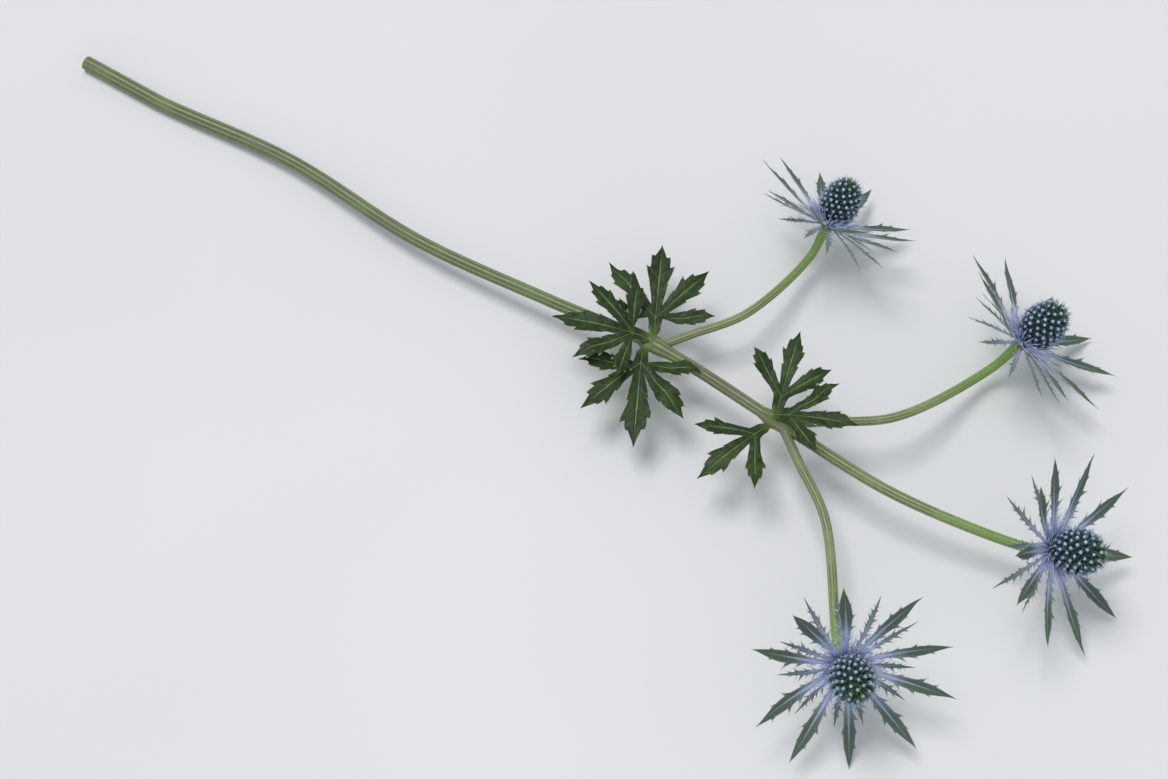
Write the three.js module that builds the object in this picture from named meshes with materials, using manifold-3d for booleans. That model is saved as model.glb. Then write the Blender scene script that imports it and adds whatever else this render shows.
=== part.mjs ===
// One cut stem of sea holly, lying down: a ridged stem with four blooms and two whorls of leaves.
// Millimetres, +Z up. The stem lies along +X with its cut end at the low X side.
import * as THREE from "three";
import { ConvexHull } from "three/addons/math/ConvexHull.js";
import Module from "manifold-3d";

// ---- driving dimensions, mm and degrees ----
const GAP = 0.3;
const GOLDEN_ANGLE = 137.508;

// stem: radius at the cut end, at the upper node and below each bloom's collar
const STEM_CUT_R = 3.7;
const STEM_TOP_R = 2.9;
const STALK_R = 2.35;
const STALK_END_R = 3.5;
const NODE_SWELL = 1.1;
const NODE_REACH = 9;
const STEM_SIDES = 10;
const STALK_SIDES = 8;
const FLAT_LENGTH = 44;
const STALK_SWELL_LENGTH = 14;
const STALK_STRAIGHT = 5;
const STEM_RING_STEP = 19;
const STALK_RING_STEP = 11;

// where the two branching nodes lie, and the places that the main stem passes before and after them
const LOWER_NODE = [330, 5, 19];
const UPPER_NODE = [400, -2, 24];
const STEM_BEFORE_NODES = [
  [120, 5, 6],
  [200, -2, 10.5],
  [272, 1, 15.5],
];
const STEM_AFTER_NODES = [462, -6, 25];
// side branches: the node that each leaves, its direction in plan and rise there, and its bloom; the branch
// passes along that direction up to the bend's share of its reach, and meets the bloom's axis at the straight
// share before its end
const BRANCHES = [
  { node: "upper", turn: 34, rise: 4, bloom: "left" },
  { node: "upper", turn: -38, rise: 2, bloom: "right" },
  { node: "lower", turn: 52, rise: 6, bloom: "low" },
];
const BRANCH_STRAIGHT = 0.16;
const BRANCH_BEND = 0.42;

// collar disc under each head: bottom, rim and top
const DISC_BOTTOM = -2.6;
const DISC_TOP = 1.4;
const DISC_R = 6.4;
const DISC_SIDES = 12;

// flower head: egg core with a blunt stud for each floret; the first florets' room stays free at its base
const HEAD_BASE = DISC_TOP + GAP + 0.1;
const HEAD_CORE_R = 8.2;
const HEAD_WIDEST = 9.8;
const HEAD_LOWER = 10.4;
const HEAD_UPPER = 13.4;
const FLORETS = 130;
const FIRST_FLORET = 2.5;
const FLORET_HEIGHT = 2.3;
const FLORET_TIP_R = 0.8;
const HEAD_RING_POINTS = 12;

// all bracts: where they root on the collar, thickness, half width of the tip, fold of the blade, and how far
// each strays from its even place round the collar
const BRACT_ROOT_R = 4.7;
const BRACT_THICK = 0.72;
const TIP_HALF = 0.32;
const BLADE_FOLD = 0.3;
const BRACT_STRAY = 4;
// large and small bracts, each measure as [middle, spread]
const LARGE_BRACTS = {
  count: 10,
  offset: 0,
  length: [43, 2.6],
  height: [-1.1, 0.15],
  rise: [11, 4],
  bend: [13, 9],
  twist: [0, 14],
  sway: [0, 3.2],
  skew: [0, 0.05],
};
const SMALL_BRACTS = {
  count: 11,
  offset: 0.5,
  length: [30, 4],
  height: [-1.95, 0.1],
  rise: [-9, 5],
  bend: [2, 10],
  twist: [0, 20],
  sway: [0, 3],
  skew: [0, 0],
};
// their rows from the claw to the tip, [share of length, half width]; the wide rows are the spiny teeth
const BRACT_ROWS = [
  [0, 1.3],
  [0.24, 1.6],
  [0.4, 3],
  [0.48, 4.7],
  [0.52, 3.6],
  [0.7, 4.9],
  [0.74, 2.9],
];
const SMALL_ROWS = [
  [0, 1],
  [0.36, 1.3],
  [0.48, 3.4],
  [0.51, 1.5],
  [0.69, 3],
  [0.72, 1],
];

// stem leaves: thickness, the palm of the blade and one lobe's rows [share of lobe length, half width]
const LEAF_THICK = 0.8;
const LEAF_LOBE = 41;
const LEAF_STALK = 8;
const LEAF_STALK_HALF = 3;
const LEAF_SINUS = 7;
const LOBE_START = 0.2;
const LOBE_ROWS = [
  [0.34, 2.7],
  [0.47, 5.3],
  [0.52, 3.1],
  [0.69, 4.7],
  [0.74, 2.3],
];
// how much shorter and narrower a lobe is for each degree that it turns aside
const LOBE_SHORTER = 0.0042;
const LOBE_NARROWER = 0.003;
// how far bays, lobes and teeth stray from their middles
const STRAY = { sinus: 0.1, turn: 3, length: 0.05, skew: 0.03, width: 0.08 };
// rise of the blade's sides for each millimetre aside, and the wave of its edge
const LEAF_DISH = 0.1;
const LEAF_WAVE = 1.3;
const WAVE_ALONG = 0.16;
const WAVE_ACROSS = 0.28;
const WAVE_FULL = 12;
// how far a leaf's foot lies from the middle of its node, towards the cut end
const LEAF_BACK = 5;

// blooms: where the collar stands in plan, which way the bloom looks, and its size against the largest
const BLOOMS = [
  { name: "top", x: 536, y: 4, turn: 4, lift: 38, size: 1.0, seed: 11, float: 0.5 },
  { name: "left", x: 474, y: 95, turn: 58, lift: 42, size: 0.96, seed: 23, float: 0 },
  { name: "right", x: 485, y: -93, turn: -50, lift: 40, size: 0.98, seed: 37, float: 0 },
  { name: "low", x: 366, y: 102, turn: 84, lift: 44, size: 0.9, seed: 59, float: 0 },
];

// leaves: node, place round the stem from its upper side to its left, distance of the foot from the stem's
// axis, direction in plan, rise at the base and bend towards the tip, size, side lobes' angles
const LEAVES = [
  {
    name: "leaf_lower_left", node: "lower", seat: 78, foot: 4.25,
    turn: 116, rise: 10, bend: -18, size: 1.0, side: [41, 84], seed: 3,
  },
  {
    name: "leaf_lower_right", node: "lower", seat: -74, foot: 5.8,
    turn: -66, rise: 12, bend: -24, size: 1.08, side: [40, 82], seed: 5,
  },
  {
    name: "leaf_lower_over", node: "lower", seat: -6, foot: 4.15,
    turn: -158, rise: 22, bend: -30, size: 0.94, side: [40, 80], seed: 7,
  },
  {
    name: "leaf_upper_left", node: "upper", seat: 76, foot: 3.4,
    turn: 104, rise: 22, bend: -30, size: 0.82, side: [46], seed: 13,
  },
  {
    name: "leaf_upper_right", node: "upper", seat: -78, foot: 4.65,
    turn: -108, rise: 14, bend: -26, size: 0.86, side: [48], seed: 17,
  },
  {
    name: "leaf_upper_over", node: "upper", seat: 4, foot: 4.1,
    turn: 14, rise: 30, bend: -22, size: 0.8, side: [45], seed: 19,
  },
];

const STEM_COLOR = 0x7f9a55;
const LEAF_COLOR = 0x3f6b4a;
const BRACT_COLOR = 0x8794b8;
const HEAD_COLOR = 0x56788c;

const wasm = await Module();
wasm.setup();

// ---- small helpers ----
const rad = (deg) => (deg * Math.PI) / 180;
const vec = (x, y, z) => new THREE.Vector3(x, y, z);
const UP = vec(0, 0, 1);

// A repeatable row of numbers between 0 and 1 that starts from a seed.
function dice(seed) {
  let state = seed >>> 0;
  return () => {
    state = (Math.imul(1664525, state) + 1013904223) >>> 0;
    return state / 4294967296;
  };
}

// The unit vector with a given direction in plan and a given rise, both in degrees.
function heading(turn, rise) {
  const c = Math.cos(rad(rise));
  return vec(c * Math.cos(rad(turn)), c * Math.sin(rad(turn)), Math.sin(rad(rise)));
}

// A draw from such a row: the middle plus or minus up to the spread.
const near = (roll, middle, spread) => middle + spread * (2 * roll() - 1);

// A closed mesh held as points and triangles.
class Shell {
  constructor() {
    this.points = [];
    this.faces = [];
  }

  add(point) {
    this.points.push(point);
    return this.points.length - 1;
  }

  move(matrix) {
    this.points.forEach((p) => p.applyMatrix4(matrix));
    return this;
  }

  solid() {
    const mesh = new wasm.Mesh({
      numProp: 3,
      vertProperties: new Float32Array(this.points.flatMap((p) => [p.x, p.y, p.z])),
      triVerts: new Uint32Array(this.faces.flat()),
    });
    return new wasm.Manifold(mesh);
  }

  static from(solid) {
    const mesh = solid.getMesh();
    const shell = new Shell();
    for (let i = 0; i < mesh.vertProperties.length; i += mesh.numProp) {
      shell.add(vec(mesh.vertProperties[i], mesh.vertProperties[i + 1], mesh.vertProperties[i + 2]));
    }
    for (let i = 0; i < mesh.triVerts.length; i += 3) {
      shell.faces.push([mesh.triVerts[i], mesh.triVerts[i + 1], mesh.triVerts[i + 2]]);
    }
    return shell;
  }

  lowest() {
    return Math.min(...this.points.map((p) => p.z));
  }

  mesh(name, color, roughness) {
    const geometry = new THREE.BufferGeometry();
    const flat = this.points.flatMap((p) => [p.x, p.y, p.z]);
    geometry.setAttribute("position", new THREE.Float32BufferAttribute(flat, 3));
    geometry.setIndex(this.faces.flat());
    geometry.computeVertexNormals();
    const mesh = new THREE.Mesh(geometry, new THREE.MeshStandardMaterial({ color, roughness }));
    mesh.name = name;
    return mesh;
  }
}

// Joins shells that run into one another into one body.
function fuse(shells) {
  const joined = shells.slice(1).reduce((sum, shell) => sum.add(shell.solid()), shells[0].solid());
  return Shell.from(joined);
}

// Gives a sheet of triangles its thickness along its own normals; both faces have the same triangles.
function thicken(points, faces, thickness) {
  const normals = points.map(() => vec(0, 0, 0));
  for (const [a, b, c] of faces) {
    const n = vec().crossVectors(
      vec().subVectors(points[b], points[a]),
      vec().subVectors(points[c], points[a]),
    );
    [a, b, c].forEach((i) => normals[i].add(n));
  }
  const shell = new Shell();
  const count = points.length;
  for (const side of [0.5, -0.5]) {
    points.forEach((p, i) => {
      const n = normals[i].clone().normalize();
      shell.add(p.clone().addScaledVector(n, side * thickness));
    });
  }
  const open = new Map();
  for (const [a, b, c] of faces) {
    shell.faces.push([a, b, c], [count + a, count + c, count + b]);
    for (const [i, j] of [[a, b], [b, c], [c, a]]) {
      const twin = `${j},${i}`;
      if (open.has(twin)) {
        open.delete(twin);
      } else {
        open.set(`${i},${j}`, [i, j]);
      }
    }
  }
  for (const [i, j] of open.values()) {
    shell.faces.push([j, i, count + i], [j, count + i, count + j]);
  }
  return shell;
}

// ---- stem ----
// A solid rod along a path, with one flat side turned down; radii gives the radius at each ring.
function rod(path, radii, sides) {
  const shell = new Shell();
  path.forEach((p, i) => {
    const before = path[Math.max(i - 1, 0)];
    const after = path[Math.min(i + 1, path.length - 1)];
    const along = vec().subVectors(after, before).normalize();
    const across = vec().crossVectors(UP, along).normalize();
    const over = vec().crossVectors(along, across);
    for (let k = 0; k < sides; k += 1) {
      const a = (2 * Math.PI * (k + 0.5)) / sides - Math.PI / 2;
      const rim = p.clone().addScaledVector(across, radii[i] * Math.cos(a));
      shell.add(rim.addScaledVector(over, radii[i] * Math.sin(a)));
    }
  });
  for (let i = 0; i + 1 < path.length; i += 1) {
    for (let k = 0; k < sides; k += 1) {
      const a = i * sides + k;
      const b = i * sides + ((k + 1) % sides);
      shell.faces.push([a, b, b + sides], [a, b + sides, a + sides]);
    }
  }
  const start = shell.add(path[0].clone());
  const end = shell.add(path[path.length - 1].clone());
  const last = (path.length - 1) * sides;
  for (let k = 0; k < sides; k += 1) {
    const next = (k + 1) % sides;
    shell.faces.push([start, next, k], [end, last + k, last + next]);
  }
  return shell;
}

// Points about one step apart along a smooth curve through the given places.
function trail(places, step) {
  const curve = new THREE.CatmullRomCurve3(places, false, "centripetal");
  return curve.getSpacedPoints(Math.max(4, Math.round(curve.getLength() / step)));
}

// The distance from a path's start to each of its points.
function runs(path) {
  const run = [0];
  for (let i = 1; i < path.length; i += 1) {
    run.push(run[i - 1] + path[i].distanceTo(path[i - 1]));
  }
  return run;
}

// A smooth hump of height 1 that is over at distance 1.
const hump = (x) => (Math.abs(x) < 1 ? (0.5 + 0.5 * Math.cos(Math.PI * x)) : 0);

// The swelling of a stalk towards its bloom, left is the length still to go.
const collarSwell = (left, size) => {
  const share = Math.max(0, 1 - left / (STALK_SWELL_LENGTH * size));
  return (STALK_END_R - STALK_R) * size * share ** 2;
};

// ---- bracts ----
// A point of a blade: along share s of its length, v to the side. The midline bends from rise to rise + bend.
function bladePoint(blade, s, v) {
  const start = rad(blade.rise);
  const turn = rad(blade.bend);
  const angle = start + turn * s;
  const r = blade.root + (blade.length * (Math.sin(angle) - Math.sin(start))) / turn;
  const z = blade.height + (blade.length * (Math.cos(start) - Math.cos(angle))) / turn;
  const twist = rad(blade.twist) * s;
  const up = Math.abs(v) * BLADE_FOLD * Math.sin(Math.PI * s);
  const side = v * Math.cos(twist) - up * Math.sin(twist) + blade.sway * s * s;
  const over = v * Math.sin(twist) + up * Math.cos(twist);
  const out = r - over * Math.sin(angle);
  const c = Math.cos(rad(blade.azimuth));
  const d = Math.sin(rad(blade.azimuth));
  return vec(out * c - side * d, out * d + side * c, z + over * Math.cos(angle));
}

// One bract with a midline: rows of left edge, midline and right edge, and one tip.
function foldedBlade(blade, rows, thickness) {
  const points = [];
  const faces = [];
  for (const [s, half] of rows) {
    const left = s + blade.skew * s;
    const right = s - blade.skew * s;
    points.push(bladePoint(blade, right, -half * blade.size));
    points.push(bladePoint(blade, s, 0));
    points.push(bladePoint(blade, left, half * blade.size));
  }
  for (let i = 0; i + 1 < rows.length; i += 1) {
    for (const k of [0, 1]) {
      const a = 3 * i + k;
      faces.push([a, a + 3, a + 4], [a, a + 4, a + 1]);
    }
  }
  const last = 3 * (rows.length - 1);
  points.push(bladePoint(blade, 1, -TIP_HALF), bladePoint(blade, 1, TIP_HALF));
  faces.push([last, last + 3, last + 1], [last + 1, last + 3, last + 4], [last + 1, last + 4, last + 2]);
  return thicken(points, faces, thickness);
}

// One narrow bract without a midline: rows of left and right edge.
function plainBlade(blade, rows, thickness) {
  const points = [];
  const faces = [];
  for (const [s, half] of [...rows, [1, TIP_HALF]]) {
    points.push(bladePoint(blade, s, -half * blade.size), bladePoint(blade, s, half * blade.size));
  }
  for (let i = 0; i + 3 < points.length; i += 2) {
    faces.push([i, i + 2, i + 3], [i, i + 3, i + 1]);
  }
  return thicken(points, faces, thickness);
}

// A solid of revolution about Z through the given [radius, height] pairs, from the bottom up.
function turned(profile, sides) {
  const shell = new Shell();
  for (const [r, z] of profile) {
    for (let k = 0; k < sides; k += 1) {
      const a = (2 * Math.PI * k) / sides;
      shell.add(vec(r * Math.cos(a), r * Math.sin(a), z));
    }
  }
  for (let i = 0; i + 1 < profile.length; i += 1) {
    for (let k = 0; k < sides; k += 1) {
      const a = i * sides + k;
      const b = i * sides + ((k + 1) % sides);
      shell.faces.push([a, b, b + sides], [a, b + sides, a + sides]);
    }
  }
  const bottom = shell.add(vec(0, 0, profile[0][1]));
  const top = shell.add(vec(0, 0, profile[profile.length - 1][1]));
  const last = (profile.length - 1) * sides;
  for (let k = 0; k < sides; k += 1) {
    const next = (k + 1) % sides;
    shell.faces.push([bottom, next, k], [top, last + k, last + next]);
  }
  return shell;
}

// A whorl of bracts evenly round the collar, each with its own draw of every measure that has a spread.
function whorl(kind, bloom, roll) {
  const draw = ([middle, spread]) => (spread > 0 ? near(roll, middle, spread) : middle);
  const blades = [];
  for (let i = 0; i < kind.count; i += 1) {
    blades.push({
      azimuth: -90 + near(roll, (360 * (i + kind.offset)) / kind.count, BRACT_STRAY),
      length: bloom.size * draw(kind.length),
      size: bloom.size,
      root: BRACT_ROOT_R,
      height: draw(kind.height),
      rise: draw(kind.rise),
      bend: draw(kind.bend) + 0.01,
      twist: draw(kind.twist),
      sway: draw(kind.sway),
      skew: draw(kind.skew),
    });
  }
  return blades;
}

// The collar under a head: its disc, the large bracts, and the small ones lower and between them.
function collarOfBracts(bloom) {
  const roll = dice(bloom.seed);
  const disc = turned(
    [
      [DISC_R * 0.9, DISC_BOTTOM],
      [DISC_R, -0.2],
      [DISC_R * 0.8, DISC_TOP],
    ],
    DISC_SIDES,
  );
  const large = whorl(LARGE_BRACTS, bloom, roll).map((b) => foldedBlade(b, BRACT_ROWS, BRACT_THICK));
  const small = whorl(SMALL_BRACTS, bloom, roll).map((b) => plainBlade(b, SMALL_ROWS, BRACT_THICK));
  return fuse([disc, ...large, ...small]);
}

// ---- head ----
// A point of the egg's core at an angle measured from its lowest end: radius, height and the normal's two
// parts, outwards and upwards.
function eggPoint(angle, size) {
  const reach = angle < Math.PI / 2 ? HEAD_LOWER : HEAD_UPPER;
  const r = HEAD_CORE_R * Math.sin(angle);
  const z = HEAD_WIDEST - reach * Math.cos(angle);
  const out = r / HEAD_CORE_R ** 2;
  const up = (z - HEAD_WIDEST) / reach ** 2;
  const long = Math.hypot(out, up);
  return [r * size, HEAD_BASE + (z - HEAD_BASE) * size, out / long, up / long];
}

// Angles on the egg that part its surface into equal shares, one for each floret.
function evenAngles(count) {
  const first = Math.acos((HEAD_WIDEST - HEAD_BASE) / HEAD_LOWER);
  const steps = 400;
  const area = [0];
  const angles = [first];
  for (let i = 1; i <= steps; i += 1) {
    angles.push(first + ((Math.PI - first) * i) / steps);
    const [r0, z0] = eggPoint(angles[i - 1], 1);
    const [r1, z1] = eggPoint(angles[i], 1);
    area.push(area[i - 1] + (0.5 * (r0 + r1)) * Math.hypot(r1 - r0, z1 - z0));
  }
  const found = [];
  for (let n = 0; n < count; n += 1) {
    const wanted = (area[steps] * (n + FIRST_FLORET)) / (count + FIRST_FLORET - 0.5);
    const i = area.findIndex((a) => a >= wanted);
    const part = (wanted - area[i - 1]) / (area[i] - area[i - 1]);
    found.push(angles[i - 1] + part * (angles[i] - angles[i - 1]));
  }
  return found;
}

// Fills the band between an outer ring and a smaller inner ring, both as [index, angle] in turning order.
function stitch(shell, outer, inner) {
  const full = 2 * Math.PI;
  const angleAt = (ring, i) => ring[i % ring.length][1] + full * Math.floor(i / ring.length);
  let i = 0;
  let j = 0;
  while (i < outer.length || j < inner.length) {
    const o = outer[i % outer.length][0];
    const n = inner[j % inner.length][0];
    const outerIsNext = j >= inner.length || angleAt(outer, i + 1) <= angleAt(inner, j + 1);
    if (i < outer.length && outerIsNext) {
      i += 1;
      shell.faces.push([o, outer[i % outer.length][0], n]);
    } else {
      j += 1;
      shell.faces.push([n, o, inner[j % inner.length][0]]);
    }
  }
}

// The head: florets on a golden-angle spiral, each a blunt stud that stands in its own share of the egg.
function flowerHead(bloom) {
  const { size } = bloom;
  const seats = [];
  const [baseR] = eggPoint(Math.acos((HEAD_WIDEST - HEAD_BASE) / HEAD_LOWER), size);
  for (let k = 0; k < HEAD_RING_POINTS; k += 1) {
    const a = (2 * Math.PI * k) / HEAD_RING_POINTS;
    seats.push({ at: vec(baseR * Math.cos(a), baseR * Math.sin(a), HEAD_BASE), floret: false });
  }
  evenAngles(FLORETS).forEach((angle, n) => {
    const [r, z, out, up] = eggPoint(angle, size);
    const a = rad(GOLDEN_ANGLE * n);
    const away = vec(Math.cos(a), Math.sin(a), 0);
    const normal = away.clone().multiplyScalar(out).addScaledVector(UP, up);
    const at = away.clone().multiplyScalar(r).addScaledVector(UP, z);
    seats.push({ at, normal, floret: true });
  });
  const hull = new ConvexHull().setFromPoints(seats.map((seat) => seat.at));
  const order = new Map(seats.map((seat, i) => [seat.at, i]));
  const shell = new Shell();
  seats.forEach((seat) => shell.add(seat.at.clone()));
  const valley = new Map();
  const edges = (face) => [face.edge, face.edge.next, face.edge.next.next];
  for (const face of hull.faces) {
    const ids = edges(face).map((edge) => order.get(edge.head().point));
    if (ids.every((i) => !seats[i].floret)) {
      shell.faces.push(ids);
    } else {
      const middle = vec(0, 0, 0);
      ids.forEach((i) => middle.addScaledVector(seats[i].at, 1 / 3));
      valley.set(face, shell.add(middle));
    }
  }
  const rings = seats.map(() => []);
  for (const [face, here] of valley) {
    for (const edge of edges(face)) {
      const from = order.get(edge.tail().point);
      const there = valley.get(edge.twin.face);
      if (there === undefined) {
        shell.faces.push([from, order.get(edge.head().point), here]);
      } else if (seats[from].floret) {
        rings[from].push(there);
      } else {
        shell.faces.push([from, there, here]);
      }
    }
  }
  seats.forEach((seat, i) => {
    if (!seat.floret) {
      return;
    }
    const u = vec().crossVectors(UP, seat.normal);
    u.normalize();
    const v = vec().crossVectors(seat.normal, u);
    const angleOf = (p) => {
      const d = vec().subVectors(p, seat.at);
      return Math.atan2(d.dot(v), d.dot(u));
    };
    const outer = rings[i].map((id) => [id, angleOf(shell.points[id])]).sort((a, b) => a[1] - b[1]);
    // the lowest florets look down on the collar and are smaller
    const grown = size * (1 + Math.min(0, seat.normal.z));
    const inner = [];
    for (let k = 0; k < 4; k += 1) {
      const a = outer[0][1] + (k * Math.PI) / 2;
      const rim = seat.at.clone().addScaledVector(seat.normal, FLORET_HEIGHT * grown);
      rim.addScaledVector(u, FLORET_TIP_R * grown * Math.cos(a));
      rim.addScaledVector(v, FLORET_TIP_R * grown * Math.sin(a));
      const id = k === 0 ? i : shell.add(rim);
      shell.points[id] = rim;
      inner.push([id, a]);
    }
    stitch(shell, outer, inner);
    const [a, b, c, d] = inner.map(([id]) => id);
    shell.faces.push([a, b, c], [a, c, d]);
  });
  return shell;
}

// ---- leaves ----
// A lobed leaf drawn flat, u forward and v to the left, as points and triangles.
function flatLeaf(leaf) {
  const roll = dice(leaf.seed);
  const about = (middle, spread) => near(roll, middle, spread);
  const flat = [];
  const faces = [];
  const put = (u, v) => {
    flat.push([u, v]);
    return flat.length - 1;
  };
  // the leaf's own stalk, three rows of right edge, midline and left edge
  const rows = [0, 0.5, 1].map((share) => {
    const half = LEAF_STALK_HALF * (1.1 - 0.7 * share + 0.8 * share * share);
    return [-half, 0, half].map((v) => put(LEAF_STALK * share, v));
  });
  for (const i of [0, 1]) {
    for (const k of [0, 1]) {
      const [a, b] = [rows[i][k], rows[i][k + 1]];
      const [c, d] = [rows[i + 1][k], rows[i + 1][k + 1]];
      faces.push([a, c, d], [a, d, b]);
    }
  }
  const [right, centre, left] = rows[2];
  const turns = [...leaf.side.map((a) => -a).reverse(), 0, ...leaf.side];
  const reach = LEAF_LOBE * leaf.size;
  // the bays between the lobes, from the right side of the stalk round to the left
  const bays = [right];
  for (let k = 0; k + 1 < turns.length; k += 1) {
    const a = rad((turns[k] + turns[k + 1]) / 2);
    const far = LEAF_SINUS * leaf.size * about(1, STRAY.sinus);
    bays.push(put(LEAF_STALK + far * Math.cos(a), far * Math.sin(a)));
  }
  bays.push(left);
  turns.forEach((turn, k) => {
    const a = rad(about(turn, STRAY.turn));
    const length = reach * (1 - LOBE_SHORTER * Math.abs(turn)) * about(1, STRAY.length);
    const skew = about(0, STRAY.skew);
    const on = (s, w) => put(
      LEAF_STALK + length * s * Math.cos(a) - w * Math.sin(a),
      length * s * Math.sin(a) + w * Math.cos(a),
    );
    let row = [bays[k], on(LOBE_START, 0), bays[k + 1]];
    faces.push([centre, row[0], row[1]], [centre, row[1], row[2]]);
    for (const [s, half] of LOBE_ROWS) {
      const wide = half * leaf.size * (1 - LOBE_NARROWER * Math.abs(turn)) * about(1, STRAY.width);
      const next = [on(s + skew, -wide), on(s, 0), on(s - skew, wide)];
      for (const j of [0, 1]) {
        faces.push([row[j], next[j], next[j + 1]], [row[j], next[j + 1], row[j + 1]]);
      }
      row = next;
    }
    const tip = on(1, 0);
    faces.push([row[0], tip, row[1]], [row[1], tip, row[2]]);
  });
  return { flat, faces };
}

// A stem leaf: the flat leaf bent along its length, its sides lifted and its edge waved. Its foot stands
// off the given place on the stem's axis.
function stemLeaf(leaf, place) {
  const { flat, faces } = flatLeaf(leaf);
  const whole = LEAF_STALK + LEAF_LOBE * leaf.size;
  const start = rad(leaf.rise);
  const turn = rad(leaf.bend);
  const forward = heading(leaf.turn, 0);
  const side = vec().crossVectors(UP, forward);
  const seat = vec(0, Math.sin(rad(leaf.seat)), Math.cos(rad(leaf.seat)));
  const foot = place.clone().addScaledVector(seat, leaf.foot);
  const points = flat.map(([u, v]) => {
    const share = u / whole;
    const angle = start + turn * share;
    const along = (whole * (Math.sin(angle) - Math.sin(start))) / turn;
    const rise = (whole * (Math.cos(start) - Math.cos(angle))) / turn;
    const ripple = LEAF_WAVE * Math.sin(WAVE_ALONG * u + WAVE_ACROSS * v);
    const wave = LEAF_DISH * Math.abs(v) + ripple * Math.min(1, Math.abs(v) / WAVE_FULL);
    const p = foot.clone().addScaledVector(forward, along - wave * Math.sin(angle));
    return p.addScaledVector(side, v).addScaledVector(UP, rise + wave * Math.cos(angle));
  });
  return thicken(points, faces, LEAF_THICK);
}

// ---- the whole stem ----
const placed = BLOOMS.map((bloom) => {
  const axis = heading(bloom.turn, bloom.lift);
  const across = vec(-Math.sin(rad(bloom.turn)), Math.cos(rad(bloom.turn)), 0);
  const back = vec().crossVectors(axis, across);
  const turn = new THREE.Matrix4().makeBasis(across, back, axis);
  const collar = collarOfBracts(bloom).move(turn);
  const head = flowerHead(bloom).move(turn);
  // the collar stands just as high as its lowest bract tip needs
  const height = bloom.float - collar.lowest();
  const shift = new THREE.Matrix4().makeTranslation(bloom.x, bloom.y, height);
  collar.move(shift);
  head.move(shift);
  return { ...bloom, axis, centre: vec(bloom.x, bloom.y, height), collar, head };
});

const lift = STEM_CUT_R * Math.cos(Math.PI / STEM_SIDES);
const lower = vec(...LOWER_NODE);
const upper = vec(...UPPER_NODE);
const stalkEnd = (bloom) => bloom.centre.clone().addScaledVector(bloom.axis, DISC_BOTTOM - GAP);
const beforeEnd = (bloom, back) => stalkEnd(bloom).addScaledVector(bloom.axis, -back);

const top = placed.find((bloom) => bloom.name === "top");
const mainPlaces = [
  vec(0, 0, lift),
  vec(FLAT_LENGTH, 0, lift),
  ...STEM_BEFORE_NODES.map((place) => vec(...place)),
  lower,
  upper,
  vec(...STEM_AFTER_NODES),
  beforeEnd(top, STALK_SWELL_LENGTH),
  beforeEnd(top, STALK_STRAIGHT),
];
const mainPath = [...trail(mainPlaces, STEM_RING_STEP), stalkEnd(top)];
// the first stretch lies flat on its underside
mainPath.filter((p) => p.x < FLAT_LENGTH).forEach((p) => p.set(p.x, 0, lift));
// rings on the nodes, beside them and near the collar carry the swellings
const extra = [];
for (const node of [lower, upper]) {
  extra.push(node.clone());
  for (const side of [-1, 1]) {
    extra.push(node.clone().add(vec(side * NODE_REACH, 0, side * 0.6)));
  }
}
const kept = mainPath.filter((p) => extra.every((q) => Math.abs(p.x - q.x) > 5));
const spine = [...kept, ...extra];
spine.sort((a, b) => a.x - b.x);
const spineRun = runs(spine);
const whole = spineRun[spineRun.length - 1];
const upperRun = spineRun[spine.findIndex((p) => p.distanceTo(upper) < 0.01)];
const mainRadii = spine.map((p, i) => {
  const run = spineRun[i];
  const shaft = run < upperRun
    ? STEM_CUT_R + ((STEM_TOP_R - STEM_CUT_R) * Math.max(0, run - FLAT_LENGTH)) / (upperRun - FLAT_LENGTH)
    : STEM_TOP_R + ((STALK_R - STEM_TOP_R) * (run - upperRun)) / (whole - upperRun);
  const nodes = hump(p.distanceTo(lower) / NODE_REACH) + hump(p.distanceTo(upper) / NODE_REACH);
  return shaft + NODE_SWELL * nodes + collarSwell(whole - run, 1);
});
const mainStem = rod(spine, mainRadii, STEM_SIDES);

// A side branch from inside a node out to its bloom.
function branch(node, leave, bloom) {
  const reach = node.distanceTo(bloom.centre);
  const places = [
    node.clone(),
    node.clone().addScaledVector(leave, BRANCH_STRAIGHT * reach),
    node.clone().addScaledVector(leave, BRANCH_BEND * reach),
    beforeEnd(bloom, BRANCH_STRAIGHT * reach),
    beforeEnd(bloom, STALK_STRAIGHT),
  ];
  const path = [...trail(places, STALK_RING_STEP), stalkEnd(bloom)];
  const run = runs(path);
  const length = run[run.length - 1];
  const radii = run.map((r) => STALK_R * bloom.size + collarSwell(length - r, bloom.size));
  return rod(path, radii, STALK_SIDES);
}

const branches = BRANCHES.map(({ node, turn, rise, bloom }) => (
  branch(node === "lower" ? lower : upper, heading(turn, rise), placed.find((b) => b.name === bloom))
));
const stem = fuse([mainStem, ...branches]);

const backwards = vec().subVectors(lower, upper).normalize();
const leaves = LEAVES.map((leaf) => {
  const place = (leaf.node === "lower" ? lower : upper).clone().addScaledVector(backwards, LEAF_BACK);
  return { name: leaf.name, shell: stemLeaf(leaf, place) };
});

const group = new THREE.Group();
group.add(stem.mesh("stem", STEM_COLOR, 0.7));
leaves.forEach(({ name, shell }) => group.add(shell.mesh(name, LEAF_COLOR, 0.6)));
placed.forEach((bloom) => {
  group.add(bloom.collar.mesh(`bracts_${bloom.name}`, BRACT_COLOR, 0.55));
  group.add(bloom.head.mesh(`head_${bloom.name}`, HEAD_COLOR, 0.65));
});

// the origin is the middle of the underside of the whole
const box = new THREE.Box3().setFromObject(group);
const middle = box.getCenter(vec());
group.children.forEach((mesh) => mesh.geometry.translate(-middle.x, -middle.y, -box.min.z));

export default group;
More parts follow.
